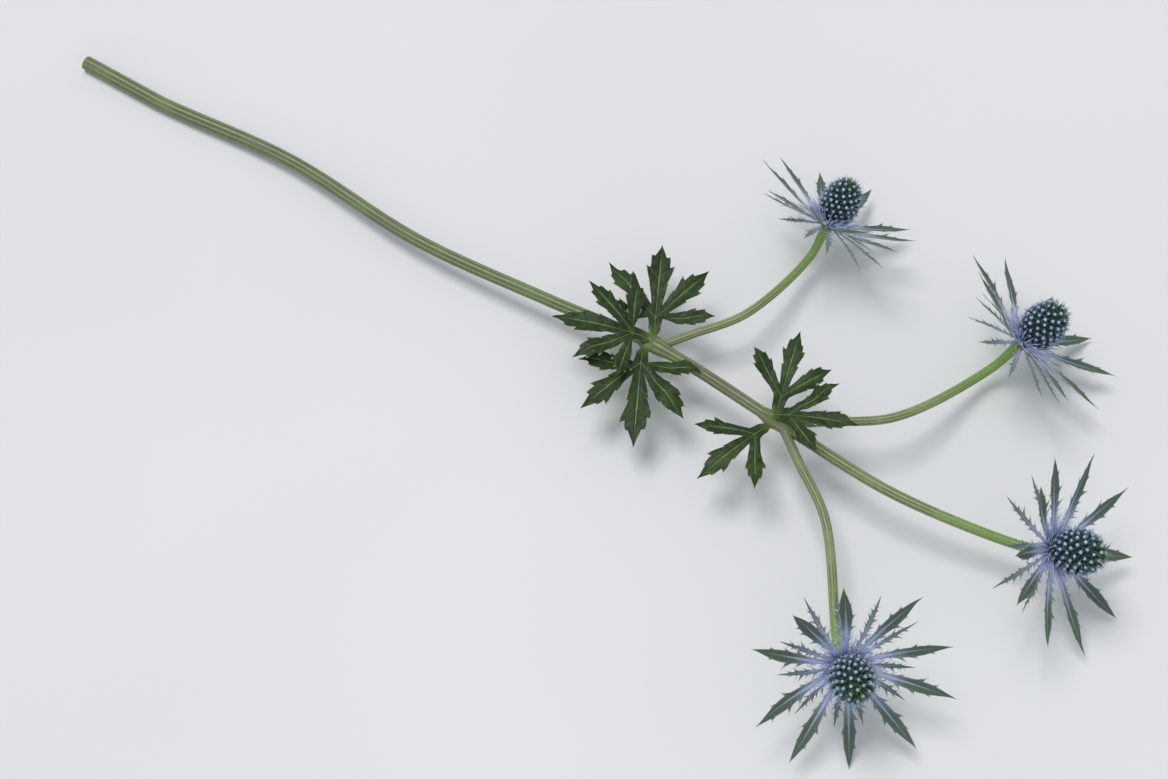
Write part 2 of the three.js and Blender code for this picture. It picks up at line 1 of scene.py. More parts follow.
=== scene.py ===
"""Looks of one cut sea holly stem, lying on a pale table.

Every shape is a formula on a grid, worked out in millimetres in the frame that the part was
drawn in. Angles in the tables are degrees.
"""
import math

import bmesh
import bpy
import numpy as np
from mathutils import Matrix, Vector


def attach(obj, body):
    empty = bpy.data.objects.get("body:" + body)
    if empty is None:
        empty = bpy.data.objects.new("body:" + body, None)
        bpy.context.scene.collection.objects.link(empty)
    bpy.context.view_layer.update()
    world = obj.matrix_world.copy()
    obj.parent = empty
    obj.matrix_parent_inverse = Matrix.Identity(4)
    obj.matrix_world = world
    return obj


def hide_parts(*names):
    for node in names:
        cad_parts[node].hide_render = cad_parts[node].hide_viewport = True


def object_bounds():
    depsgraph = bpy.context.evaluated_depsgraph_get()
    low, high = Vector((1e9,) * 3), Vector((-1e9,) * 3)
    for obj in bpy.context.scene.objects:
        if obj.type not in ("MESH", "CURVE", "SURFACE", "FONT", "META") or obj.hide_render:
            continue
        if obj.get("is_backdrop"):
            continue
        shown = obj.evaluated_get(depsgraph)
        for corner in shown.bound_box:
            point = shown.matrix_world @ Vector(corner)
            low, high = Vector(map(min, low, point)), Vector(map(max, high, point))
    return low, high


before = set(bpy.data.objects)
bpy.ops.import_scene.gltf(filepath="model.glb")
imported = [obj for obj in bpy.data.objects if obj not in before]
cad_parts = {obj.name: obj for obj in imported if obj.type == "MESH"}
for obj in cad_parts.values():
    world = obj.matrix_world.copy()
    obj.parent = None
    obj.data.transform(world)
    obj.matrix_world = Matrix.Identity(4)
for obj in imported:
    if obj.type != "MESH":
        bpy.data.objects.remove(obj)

CAD_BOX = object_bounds()
SCENE = bpy.context.scene
MM = 0.001
TAU = 2.0 * math.pi
UP = np.array([0.0, 0.0, 1.0])
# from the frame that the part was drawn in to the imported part's
SHIFT = np.array([-286.0219, -1.48, 0.0])
WELD, SLIVER = 2e-7, 1e-8  # metres
NO_TRIS = np.zeros((0, 3), int)

# ---- stem ----
STEM_CUT_R = 3.7
STEM_TOP_R = 2.9
STALK_R = 2.35
STALK_END_R = 3.5
NODE_SWELL = 1.1
NODE_REACH = 9.0
FLAT_LENGTH = 44.0
STALK_SWELL_LENGTH = 14.0
STALK_STRAIGHT = 5.0
# the stem's solid has ten sides and lies on one of them
REST_HEIGHT = STEM_CUT_R * math.cos(math.pi / 10)
LOWER_NODE = np.array([330.0, 5.0, 19.0])
UPPER_NODE = np.array([400.0, -2.0, 24.0])
NODES = {"lower": LOWER_NODE, "upper": UPPER_NODE}
LOWER_BENDS = ((120, 5, 6), (200, -2, 10.5), (272, 1, 15.5))
TOP_BEND = (462, -6, 25)
TOP_BEND_END = 14.0  # back from the top bloom
STEM_SEED = 3
# side branches: node, way in plan, rise, seed
BRANCHES = {
    "left": ("upper", 34, 4, 5),
    "right": ("upper", -38, 2, 7),
    "low": ("lower", 52, 6, 9),
}
# shares of a branch's reach that it runs straight on from its node, and back from its bloom
BRANCH_LEAVES = (0.16, 0.42)
BRANCH_ENDS = 0.16

BARK = 0.951  # radius of the ribs' tops, as a share of the solid's
RIBS = 9
RIB_POWER = 0.7
FURROW = 0.035  # share of the radius
RIB_DRIFT = 0.25
DRIFT_LENGTH = 60.0
UNEVEN = 0.006
UNEVEN_LENGTH = 3.0
CUT_RINGS = (0.12, 0.3, 0.5, 0.7, 0.86, 0.95, 0.985)  # shares of the cut's radius
CUT_DISH = 0.25

SPLINE_STEPS = 60
MAIN_STEPS, MAIN_SIDES = 520, 48
BRANCH_STEPS, BRANCH_SIDES = 130, 40
WAVES = 4

# blooms: collar's place, way it looks in plan, lift above level, size, seed
BLOOMS = {
    "top": ((536.0, 4.0, 33.0913), 4.0, 38.0, 1.0, 11),
    "left": ((474.0, 95.0, 25.7136), 58.0, 42.0, 0.96, 23),
    "right": ((485.0, -93.0, 32.3271), -50.0, 40.0, 0.98, 37),
    "low": ((366.0, 102.0, 27.3), 84.0, 44.0, 0.9, 59),
}

# ---- collar of bracts ----
DISC_BOTTOM = -2.6
DISC_TOP = 1.4
DISC_SIDES = 48
# radius and height, from the bottom up
DISC_PROFILE = (
    (1.2, DISC_BOTTOM), (3.6, DISC_BOTTOM), (5.2, -2.3), (6.1, -1.4), (6.4, -0.6), (6.3, 0.2),
    (5.6, 0.9), (4.6, DISC_TOP), (1.0, DISC_TOP),
)
GAP = 0.3
BRACT_ROOT_R = 4.7
BRACT_STRAY = 4
BLADE_FOLD = 0.3
BRACT_SHEAR = 0.75
RIPPLE_PITCH = 14.0

# Toothed edges. outline: half width against share of length. teeth: share and height. A tooth's
# foot before its tip and fall behind it are shares of the length; it grows with a power; its
# height is drawn more or less loosely. Outline and teeth are drawn upright, and the whole blade is
# then sheared forward, so that its teeth and side veins lean towards the tip.
TOOTH_STRAY = 0.03
OUTLINE_BLUR = 0.02
BRACT_TOOTH = {"foot": 0.062, "power": 2.4, "fall": 0.014, "loose": 0.4}
# The two kinds of bract. form: middle and spread of every measure that a bract draws for itself.
# across: the section's places, from edge to edge. fade: how the bristles shorten along the blade.
LARGE_BRACT = {
    **BRACT_TOOTH, "small": 0.0, "count": 10, "first": 0.0, "seed_step": 7, "seed_start": 0,
    "form": {
        "length": (43.0, 2.6), "height": (-1.1, 0.15), "rise": (11, 4), "bend": (13, 9),
        "twist": (0, 14), "sway": (0, 3.2), "skew": (0, 0.05),
    },
    "outline": (
        (0, 1.25), (0.1, 1.05), (0.2, 1.15), (0.31, 1.75), (0.43, 2.5), (0.55, 2.95), (0.65, 2.85),
        (0.76, 2.2), (0.87, 1.25), (0.96, 0.4), (1, 0.08),
    ),
    "teeth": ((0.25, 1.5), (0.4, 2.6), (0.57, 2.7), (0.74, 1.4)),
    "rows": 150,
    "across": (-1.0, -0.92, -0.7, -0.4, -0.14, 0.0, 0.14, 0.4, 0.7, 0.92, 1.0),
    "thick": 0.34, "rib": 0.4, "ripple": 0.4,
    "bristles": 6, "bristles_end": 0.33, "longest": 5.0, "fade": (1.0, 0.0), "wide": 0.24,
}
SMALL_BRACT = {
    **BRACT_TOOTH, "small": 1.0, "count": 11, "first": 0.5, "seed_step": 11, "seed_start": 3,
    "form": {
        "length": (30.0, 4), "height": (-1.95, 0.1), "rise": (-9, 5), "bend": (2, 10),
        "twist": (0, 20), "sway": (0, 3),
    },
    "outline": (
        (0, 0.9), (0.18, 0.75), (0.34, 0.95), (0.5, 1.1), (0.66, 0.95), (0.84, 0.5), (1, 0.07),
    ),
    "teeth": ((0.2, 1.6), (0.34, 2.9), (0.47, 2.2), (0.6, 2.8), (0.74, 1.5)),
    "rows": 120,
    "across": (-1.0, -0.75, -0.25, 0.0, 0.25, 0.75, 1.0),
    "thick": 0.3, "rib": 0.2, "ripple": 0.5,
    "bristles": 7, "bristles_end": 0.8, "longest": 4.6, "fade": (1.15, 0.5), "wide": 0.2,
}

SPIKE_SIDES = 4
BRISTLE_SHORTEST = 2.4
BRISTLE_START = 0.07  # share of the blade's length
BRISTLE_SUNK = 0.15
BRISTLE_SAG = 0.7
FRILL_COUNT = 230
FRILL_ROOT_R = 5.3
FRILL_LENGTH = (7.5, 15.0)
FRILL_RADIUS = (0.34, 0.58)
FRILL_RISE = (2.0, 46.0)
FRILL_HEIGHT = (-1.2, 1.0)
FRILL_SAG = 1.1

# ---- head ----
HEAD_BASE = 1.8
HEAD_CORE_R = 8.2
HEAD_WIDEST = 9.8
HEAD_LOWER = 10.4
HEAD_UPPER = 13.4
# angle from the egg's lowest end at which it starts, at its base
EGG_START = math.acos((HEAD_WIDEST - HEAD_BASE) / HEAD_LOWER)
EGG_END = math.pi - 0.02
EGG_ROWS, EGG_SIDES, EGG_SLICES = 40, 56, 400
FLORETS = 130
FIRST_FLORET = 2.5
GOLDEN_ANGLE = 137.508
FLORET_SIDES = 10
# one floret from its foot to its mouth: height, radius, how much its five petals stand out, and
# its colour's place
FLORET_PROFILE = (
    (-0.6, 1.2, 0.0, 0.0), (1.2, 0.68, 0.02, 0.5), (1.95, 0.9, 0.12, 0.82),
    (2.46, 0.8, 0.24, 0.98), (2.52, 0.4, 0.12, 1.02),
)
FLORET_ENDS = (0.0, 1.12)
FLORET_LEAN, FLORET_WIDE, FLORET_TALL = 0.09, (0.8, 1.0), (0.92, 1.08)
# bristles round one floret: 0 is long and pale, 1 is short and green
FLORET_BRISTLES = (0.0, 0.0, 0.0, 1.0, 1.0, 1.0, 1.0, 1.0)
HEAD_BRISTLE_SUNK = 0.8
HEAD_BRISTLE_LENGTH, HEAD_BRISTLE_DRAW = 4.7, (-0.5, 0.6)
HEAD_BRISTLE_RADIUS = 0.32
GREEN_OUT, GREEN_SHORTER, GREEN_WIDER = (0.3, 0.75), 1.9, 0.12

# ---- leaves ----
LEAF_STALK = 8.0
LEAF_STALK_HALF = 3.0
LEAF_SINUS = 7.0
LEAF_LOBE = 41.0
LEAF_BACK = 5.0
LOBE_START = 0.2
LOBE = {
    "outline": (
        (0.2, 3.1), (0.26, 2.9), (0.34, 3.5), (0.42, 4.2), (0.52, 4.7), (0.6, 4.5), (0.7, 3.5),
        (0.8, 2.3), (0.9, 1.1), (0.97, 0.35), (1.0, 0.08),
    ),
    "teeth": ((0.36, 1.6), (0.55, 2.3), (0.74, 1.2)),
    "foot": 0.2, "power": 1.25, "fall": 0.03, "loose": 0.3,
}
LOBE_SHEAR = 0.88
# a lobe is this much shorter and narrower for each degree that it turns aside
LOBE_SHORTER, LOBE_NARROWER = 0.0042, 0.003
FOOT_STEPS, PALM_STEPS, LOBE_STEPS = 16, 5, 110
# shares of the way from vein to edge
LEAF_ACROSS = (0.0, 0.07, 0.2, 0.45, 0.7, 0.9, 1.0)
LEAF_DISH = 0.1
# height of each wave, then its pitch along and across the leaf; the first fades out at the midrib
LEAF_WAVE, WAVE_ALONG, WAVE_ACROSS, WAVE_FULL = 1.3, 0.16, 0.28, 12
EDGE_WAVE, EDGE_WAVE_ALONG, EDGE_WAVE_ACROSS = 0.3, 0.9, 0.7
MID_GROOVE, SIDE_GROOVE, GROOVE_SHARE = 0.55, 0.5, 0.1
CLASP, CLASP_LENGTH = 0.06, 5.0
LEAF_THICK, LEAF_THINNED = 0.62, 0.42
# leaves: node, seat round it, foot's distance, way in plan, rise, bend, size, side lobes, seed
LEAVES = {
    "leaf_lower_left": ("lower", 78, 4.25, 116, 10, -18, 1.0, (41, 84), 3),
    "leaf_lower_right": ("lower", -74, 5.8, -66, 12, -24, 1.08, (40, 82), 5),
    "leaf_lower_over": ("lower", -6, 4.15, -158, 22, -30, 0.94, (40, 80), 7),
    "leaf_upper_left": ("upper", 76, 3.4, 104, 22, -30, 0.82, (46,), 13),
    "leaf_upper_right": ("upper", -78, 4.65, -108, 14, -26, 0.86, (48,), 17),
    "leaf_upper_over": ("upper", 4, 4.1, 14, 30, -22, 0.8, (45,), 19),
}

# ---- node rings ----
RING_SIDES, RING_ROWS = 72, 25
RING_HALF = 6.2
RING_AHEAD = 0.6
RING_SUNK = 0.3
RING_GROWTH = 0.3
RING_FURROW = 0.14
# under a leaf: least growth, how far it tops the foot, and the bell curve's width in radians
FOOT_LEAST, FOOT_OVER, FOOT_BELL = 0.5, 0.1, 0.52

# ---- set, metres ----
TABLE_HALF = 6.0
CAMERA_AIM, CAMERA_DISTANCE = Vector((0.027, -0.034, 0.02)), 1.27
CAMERA_TURN, CAMERA_RISE = -58.0, 62.0


# ---- numbers ----
def dice(seed):
    """A repeatable draw: each call gives middle plus or minus up to spread."""
    state = seed

    def about(middle, spread):
        nonlocal state
        state = (1664525 * state + 1013904223) & 0xFFFFFFFF
        return middle + spread * (2.0 * state / 4294967296.0 - 1.0)

    return about


def plan_way(turn):
    """Unit vector of a direction in a flat drawing."""
    return np.array([math.cos(math.radians(turn)), math.sin(math.radians(turn))])


def heading(turn, rise):
    """Unit vector with a direction in plan and a rise."""
    level, height = plan_way(rise)
    return np.array([*(level * plan_way(turn)), height])


def unit(v):
    """Vectors divided by their lengths."""
    return v / np.maximum(np.linalg.norm(v, axis=-1, keepdims=True), 1e-12)


def hump(x):
    """Half a cosine wave: 1 at the middle, 0 from distance 1 on."""
    return np.where(np.abs(x) < 1.0, 0.5 + 0.5 * np.cos(np.pi * np.clip(x, -1.0, 1.0)), 0.0)


def ease(x):
    """Smooth step from 0 to 1."""
    x = np.clip(x, 0.0, 1.0)
    return x * x * (3.0 - 2.0 * x)


def wobble(x, seed):
    """Soft irregular curve about 0: a sum of sine waves of rising pitch and falling height, with
    seeded phases."""
    about = dice(seed)
    total = np.zeros_like(x)
    for k in range(1, WAVES + 1):
        total = total + np.sin(k * about(1.0, 0.25) * x + about(0.0, math.pi)) / k
    return total / WAVES


# ---- meshes ----
def put(name, data, source=None):
    """A new object in the scene. A lamp or a camera looks back from the side source."""
    made = bpy.data.objects.new(name, data)
    if source:
        made.rotation_euler = (-Vector(source)).to_track_quat("-Z", "Y").to_euler()
    SCENE.collection.objects.link(made)
    return made


class Stock:
    """Points, faces and per-point values of one piece, gathered shell by shell in a frame of its
    own, which has a place and three axes."""

    def __init__(self, place=0.0, axes=np.eye(3)):
        self.place, self.axes = place, axes
        self.points, self.quads, self.tris = [], [], []
        self.values = {}
        self.count = 0

    def add(self, points, quads, tris=NO_TRIS, **values):
        """Takes in closed shells, turned outwards by the sign of their volume. A value is one
        number, or an array that fits the array of points."""
        shape = points.shape[:-1]
        points = points.reshape(-1, 3) @ self.axes + self.place
        quads, tris = quads.reshape(-1, 4), tris.reshape(-1, 3)
        fans = np.vstack([quads[:, [0, 1, 2]], quads[:, [0, 2, 3]], tris])
        a, b, c = (points[fans[:, k]] - points.mean(0) for k in range(3))
        if np.einsum("ij,ij->i", a, np.cross(b, c)).sum() < 0.0:
            quads, tris = quads[:, ::-1], tris[:, ::-1]
        self.points.append(points)
        self.quads.append(quads + self.count)
        self.tris.append(tris + self.count)
        for key in {**self.values, **values}:
            kept = self.values.setdefault(key, [np.zeros(self.count)])
            kept.append(np.broadcast_to(values.get(key, 0.0), shape).ravel())
        self.count += len(points)

    def add_rings(self, rings, **values):
        """Takes in the shell of some rings. A value goes for all of it, by ring or by place; the
        end rings' middles get their means."""
        for key, value in values.items():
            grid = np.broadcast_to(value, rings.shape[:2])
            values[key] = np.append(grid, [grid[0].mean(), grid[-1].mean()])
        self.add(*loft(rings), **values)

    def add_many(self, shells, key, by_ring, at_ends, **each):
        """Takes in equal shells of rings [shell, ring, place, 3]. The value called key goes by
        ring, with two more for the end rings' middles; the others go by shell."""
        count, _, cols, _ = shells.shape
        points = np.concatenate([shells.reshape(count, -1, 3), shells[:, [0, -1]].mean(2)], axis=1)
        _, quads, tris = loft(shells[0])
        step = (np.arange(count) * points.shape[1])[:, None, None]
        each = {name: np.reshape(value, (-1, 1)) for name, value in each.items()}
        each[key] = np.append(np.repeat(by_ring, cols), at_ends)
        self.add(points, quads + step, tris + step, **each)

    def piece(self, name, material, replaced=None, weld=False):
        """Makes the Blender object, in metres, riding on the stem's one body."""
        points = (np.vstack(self.points) + SHIFT) * MM
        faces = [*np.vstack(self.quads).tolist(), *np.vstack(self.tris).tolist()]
        mesh = bpy.data.meshes.new(name)
        mesh.from_pydata(points.tolist(), [], faces)
        for key, parts in self.values.items():
            layer = mesh.attributes.new(key, "FLOAT", "POINT")
            layer.data.foreach_set("value", np.concatenate(parts).astype(np.float32))
        if weld:
            close_shell(mesh)
        mesh.shade_smooth()
        mesh.validate()
        mesh.materials.append(material)
        made = put(name, mesh)
        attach(made, "root")
        if replaced:
            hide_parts(replaced)


def close_shell(mesh):
    """Welds the edges of a mesh that touch, drops slivers and fills what is still open."""
    shell = bmesh.new()
    shell.from_mesh(mesh)
    bmesh.ops.remove_doubles(shell, verts=shell.verts, dist=WELD)
    bmesh.ops.dissolve_degenerate(shell, edges=shell.edges, dist=SLIVER)
    rims = [edge for edge in shell.edges if edge.is_boundary]
    if rims:
        bmesh.ops.holes_fill(shell, edges=rims, sides=0)
    bmesh.ops.triangulate(shell, faces=[face for face in shell.faces if len(face.verts) > 4])
    bmesh.ops.recalc_face_normals(shell, faces=shell.faces)
    shell.to_mesh(mesh)
    shell.free()


def loft(rings):
    """A closed shell from rings of points [ring, place, 3]: quads from each ring to the next,
    with a fan to the middle of each end ring."""
    points = np.vstack([rings.reshape(-1, 3), rings[0].mean(0), rings[-1].mean(0)])
    here = np.arange(len(points) - 2).reshape(rings.shape[:2])
    nxt = np.roll(here, -1, axis=1)
    middles = np.full((len(here[0]), 2), [len(points) - 2, len(points) - 1]).T
    tris = np.stack([middles, [nxt[0], here[-1]], [here[0], nxt[-1]]], -1)
    quads = np.stack([here[:-1], nxt[:-1], nxt[1:], here[1:]], -1)
    return points, quads.reshape(-1, 4), tris.reshape(-1, 3)


def ring_angles(sides):
    """Even angles once round."""
    return np.linspace(0.0, TAU, sides, endpoint=False)


def ring_points(middle, across, over, angle, radius):
    """Rings round middles: middle + radius (cos(angle) across + sin(angle) over). The radius has
    one axis more than the middles, for the places round the ring."""
    c, s = np.cos(angle)[..., None], np.sin(angle)[..., None]
    away = c * across[..., None, :] + s * over[..., None, :]
    return middle[..., None, :] + radius[..., None] * away


def turned(r, z, sides):
    """A turned shape about the upright axis: one ring of radius r for each height z."""
    across, over, up = np.eye(3)
    return ring_points(z[:, None] * up, across, over, ring_angles(sides), r[:, None])


def both_faces(upper, lower):
    """Rings that run along the upper face of a blade and back along its lower face."""
    return np.concatenate([upper, lower[:, ::-1]], axis=1)


# ---- paths ----
def spline(places, count):
    """Centripetal Catmull-Rom curve through the places, sampled evenly along its length."""
    p = np.asarray(places, float)
    p = np.vstack([2 * p[0] - p[1], p, 2 * p[-1] - p[-2]])
    t = np.linspace(0.0, 1.0, SPLINE_STEPS)[:, None]
    parts = []
    for x0, x1, x2, x3 in zip(p[:-3], p[1:-2], p[2:-1], p[3:]):
        d0, d1, d2 = (math.sqrt(np.linalg.norm(b - a)) for a, b in ((x0, x1), (x1, x2), (x2, x3)))
        t1 = d1 * ((x1 - x0) / d0 - (x2 - x0) / (d0 + d1) + (x2 - x1) / d1)
        t2 = d1 * ((x2 - x1) / d1 - (x3 - x1) / (d1 + d2) + (x3 - x2) / d2)
        square, cube = 3 * (x2 - x1) - 2 * t1 - t2, 2 * (x1 - x2) + t1 + t2
        parts.append(x1 + t1 * t + square * t**2 + cube * t**3)
    path = np.vstack(parts)
    run = run_of(path)
    at = np.linspace(0.0, run[-1], count)
    return np.stack([np.interp(at, run, path[:, k]) for k in range(3)], -1)


def run_of(path):
    """Length along a path up to each of its points."""
    return np.append(0.0, np.cumsum(np.linalg.norm(np.diff(path, axis=0), axis=1)))


def bloom_frame(name):
    """Collar's place, and the three axes across, back and along the bloom."""
    place, turn, lift, *_ = BLOOMS[name]
    axis = heading(turn, lift)
    c, s = plan_way(turn)
    across = np.array([-s, c, 0.0])
    return np.array(place), np.stack([across, np.cross(axis, across), axis])


def stalk_end(name, back=0.0):
    """The point under a bloom's collar where its stalk ends, or a length back from it."""
    place, axes = bloom_frame(name)
    return place + axes[2] * (DISC_BOTTOM - GAP - back)


# ---- stem ----
def collar_swell(left, size):
    """How much a stalk widens with the length left to its bloom: a square law over its last
    stretch."""
    share = np.maximum(0.0, 1.0 - left / (STALK_SWELL_LENGTH * size))
    return (STALK_END_R - STALK_R) * size * share**2


def main_path():
    """The main stem's axis, from its cut end to under its top bloom, and its radius, which
    narrows evenly to the upper node and again to the bloom, and swells at each node."""
    foot, end = stalk_end("top", STALK_STRAIGHT), stalk_end("top")
    path = spline([
        (0, 0, REST_HEIGHT), (FLAT_LENGTH, 0, REST_HEIGHT), *LOWER_BENDS, LOWER_NODE, UPPER_NODE,
        TOP_BEND, stalk_end("top", TOP_BEND_END), foot,
    ], MAIN_STEPS)
    flat = path[:, 0] < FLAT_LENGTH
    path[flat, 1] = 0.0
    path[flat, 2] = REST_HEIGHT
    path = np.vstack([path, foot + np.linspace(0.15, 1.0, 6)[:, None] * (end - foot)])
    run = run_of(path)
    upper_run = run[np.argmin(np.linalg.norm(path - UPPER_NODE, axis=1))]
    share = (run - FLAT_LENGTH) / (upper_run - FLAT_LENGTH)
    radius = STEM_CUT_R + (STEM_TOP_R - STEM_CUT_R) * np.clip(share, 0.0, 1.0)
    past = np.clip((run - upper_run) / (run[-1] - upper_run), 0.0, 1.0)
    radius = radius + (STALK_R - STEM_TOP_R) * past
    for node in NODES.values():
        radius = radius + NODE_SWELL * hump(np.linalg.norm(path - node, axis=1) / NODE_REACH)
    return path, radius + collar_swell(run[-1] - run, 1.0)


def branch_path(name):
    """A side branch's axis, from inside its node out to under its bloom, and its radius."""
    node, turn, rise, _ = BRANCHES[name]
    place, _, _, size, _ = BLOOMS[name]
    start, way = NODES[node], heading(turn, rise)
    reach = np.linalg.norm(start - place)
    out = [start + share * reach * way for share in BRANCH_LEAVES]
    back = [stalk_end(name, BRANCH_ENDS * reach), stalk_end(name, STALK_STRAIGHT)]
    path = spline([start, *out, *back], BRANCH_STEPS)
    path = np.vstack([path, stalk_end(name, STALK_STRAIGHT / 2), stalk_end(name)])
    run = run_of(path)
    return path, STALK_R * size + collar_swell(run[-1] - run, size)


def rod_rings(path, radius, sides, seed):
    """Rings round a path. Radius at angle a is the stem's radius less a share for the furrows
    between its ribs, |sin(RIBS a / 2)| softened by a power, with a slow drift of the ribs round
    the stem and a slight unevenness along it. Returns the rings, how far up a rib each point lies
    and how far along the path."""
    along = unit(np.gradient(path, axis=0))
    across = unit(np.cross(UP, along))
    run = run_of(path)[:, None]
    a = ring_angles(sides)
    rib = np.abs(np.sin(0.5 * RIBS * (a + RIB_DRIFT * wobble(run / DRIFT_LENGTH, seed))))
    rib = rib**RIB_POWER
    r = radius[:, None] * BARK * (1.0 - FURROW * (1.0 - rib))
    r = r * (1.0 + UNEVEN * wobble(run / UNEVEN_LENGTH, seed + 4))
    return ring_points(path, across, np.cross(along, across), a, r), rib, run


def make_stem(material):
    """The whole green stem: main stem and three side branches, each a ribbed rod. A rod's first
    ring is drawn in towards its middle and dished a little, which is the cut face."""
    stock = Stock()
    rods = [(*main_path(), MAIN_SIDES, STEM_SEED)]
    rods += [(*branch_path(name), BRANCH_SIDES, BRANCHES[name][-1]) for name in BRANCHES]
    share = np.array(CUT_RINGS)[:, None]
    for path, radius, sides, seed in rods:
        rings, rib, run = rod_rings(path, radius, sides, seed)
        middle = rings[0].mean(0)
        face = middle + share[..., None] * (rings[0] - middle)
        face = face + (CUT_DISH * (1.0 - share**2))[..., None] * unit(path[1] - path[0])
        before, after = ((len(share), 0), (0, 0)), ((0, len(path)), (0, 0))
        rib, run, left = (np.pad(x, before, "edge") for x in (rib, run, run[-1, 0] - run))
        cut = np.pad(1.0 - 0.9 * share, after)
        stock.add_rings(np.vstack([face, rings]), rib=rib, run=run, left=left, cut=cut)
    stock.piece("ribbed_stem", material, "stem")


# ---- bracts ----
def bract_blades(size, seed):
    """The bracts of one bloom: large ones round the collar, small ones lower and between them."""
    about = dice(seed)
    blades = []
    for kind in (LARGE_BRACT, SMALL_BRACT):
        for i in range(kind["count"]):
            blade = {"kind": kind, "size": size, "skew": 0.0}
            blade["seed"] = seed + kind["seed_step"] * i + kind["seed_start"]
            blade["azimuth"] = about(360 * (i + kind["first"]) / kind["count"], BRACT_STRAY) - 90
            for key, (middle, stray) in kind["form"].items():
                blade[key] = about(middle, stray)
            blade["length"] *= size
            blade["bend"] += 0.01
            blades.append(blade)
    return blades


def blade_point(blade, s, v):
    """A point of a bract at share s of its length and v millimetres to its side. The midline is
    an arc that rises from rise to rise plus bend; the blade is folded up along it, twisted, and
    swayed to one side."""
    start, turn = math.radians(blade["rise"]), math.radians(blade["bend"])
    angle = start + turn * s
    r = BRACT_ROOT_R + blade["length"] * (np.sin(angle) - math.sin(start)) / turn
    z = blade["height"] + blade["length"] * (math.cos(start) - np.cos(angle)) / turn
    twist = math.radians(blade["twist"]) * s
    up = np.abs(v) * BLADE_FOLD * np.sin(np.pi * np.clip(s, 0.0, 1.0))
    side = v * np.cos(twist) - up * np.sin(twist) + blade["sway"] * s * s
    over = v * np.sin(twist) + up * np.cos(twist)
    out = r - over * np.sin(angle)
    c, d = plan_way(blade["azimuth"])
    return np.stack([out * c - side * d, out * d + side * c, z + over * np.cos(angle)], -1)


def toothed_edge(s, form, size, about):
    """Half width of one edge: the plain outline, smoothed, and above it one spike for each tooth,
    which grows with a power of the way along its foot and falls off within a short way behind its
    tip. Returns it with two marks that are 1 at a tooth's own share: a short one for its point, a
    narrow one for its vein."""
    at, half = np.array(form["outline"]).T
    blur = ((0.25, -OUTLINE_BLUR), (0.5, 0.0), (0.25, OUTLINE_BLUR))
    plain = sum(weight * np.interp(s + shift, at, half) for weight, shift in blur)
    tallest = max(height for _, height in form["teeth"])
    spike, point, vein = np.zeros((3, len(s)))
    for place, height in form["teeth"]:
        tip = about(place, TOOTH_STRAY)
        base = form["foot"] * about(1.0, 0.2) * (0.6 + 0.4 * height / tallest)
        tall = height * about(1.0, form["loose"])
        rise = np.clip((s - tip + base) / base, 0.0, 1.0) ** form["power"]
        behind = np.clip(1.0 - (s - tip) / form["fall"], 0.0, 1.0) ** 1.3
        spike = np.maximum(spike, tall * np.where(s <= tip, rise, behind))
        point = np.maximum(point, hump((s - tip + 0.08 * base) / (0.28 * base + 0.006)))
        vein = np.maximum(vein, hump((s - tip + 0.008) / 0.014) * min(1.0, height / 2.0))
    return (plain + spike) * size, point, vein


def add_bract(stock, blade):
    """Puts one bract into a stock: rings round a thin lens-shaped section, half along the upper
    face and half along the lower. The rib stands out below along the midline; the plan is sheared
    forward by the distance from the midline."""
    about = dice(blade["seed"])
    kind, size = blade["kind"], blade["size"]
    share = np.linspace(0.0, 1.0, kind["rows"])
    s, v = share[:, None], np.array(kind["across"])
    far = np.abs(v)
    lateral, point, vein = np.zeros((3, len(s), len(v)))
    for sign in (-1.0, 1.0):
        wide, tip, line = toothed_edge(share, kind, size, about)
        mine = v * sign > 0
        lateral[:, mine] = sign * far[mine] * wide[:, None]
        point[:, mine] = ease((far[mine] - 0.6) / 0.4) * tip[:, None]
        vein[:, mine] = line[:, None]
    off = np.abs(lateral)
    at = s + BRACT_SHEAR * off / blade["length"] * ease(s / 0.2)
    centre = blade_point(blade, at + blade["skew"] * s * v, lateral)
    along, across = (unit(np.gradient(centre, axis=k)) for k in (0, 1))
    normal = unit(np.cross(along, across))
    normal = normal * np.sign(normal[..., 2:3].mean())
    ripple = kind["ripple"] * v**2 * wobble(s * RIPPLE_PITCH, blade["seed"] + 2)
    ripple = ripple * ease(s / 0.3) * size
    thick = kind["thick"] * (1.0 - 0.6 * v**2) * (0.55 + 0.45 * (1 - s))
    rib = kind["rib"] * np.exp(-((off / (0.7 * size)) ** 2)) * (1.0 - 0.8 * s)
    centre = centre + normal * ripple[..., None]
    upper = centre + normal * (0.5 * thick)[..., None]
    lower = centre - normal * (0.5 * thick + rib)[..., None]
    stock.add_rings(
        both_faces(upper, lower), share=s, edge=np.tile(far, 2), off=both_faces(off, off),
        tooth=both_faces(point, point), vein=both_faces(vein, vein), small=kind["small"],
        under=np.repeat([0.0, 1.0], len(v)), shade=(blade["seed"] * 0.37) % 1.0,
    )


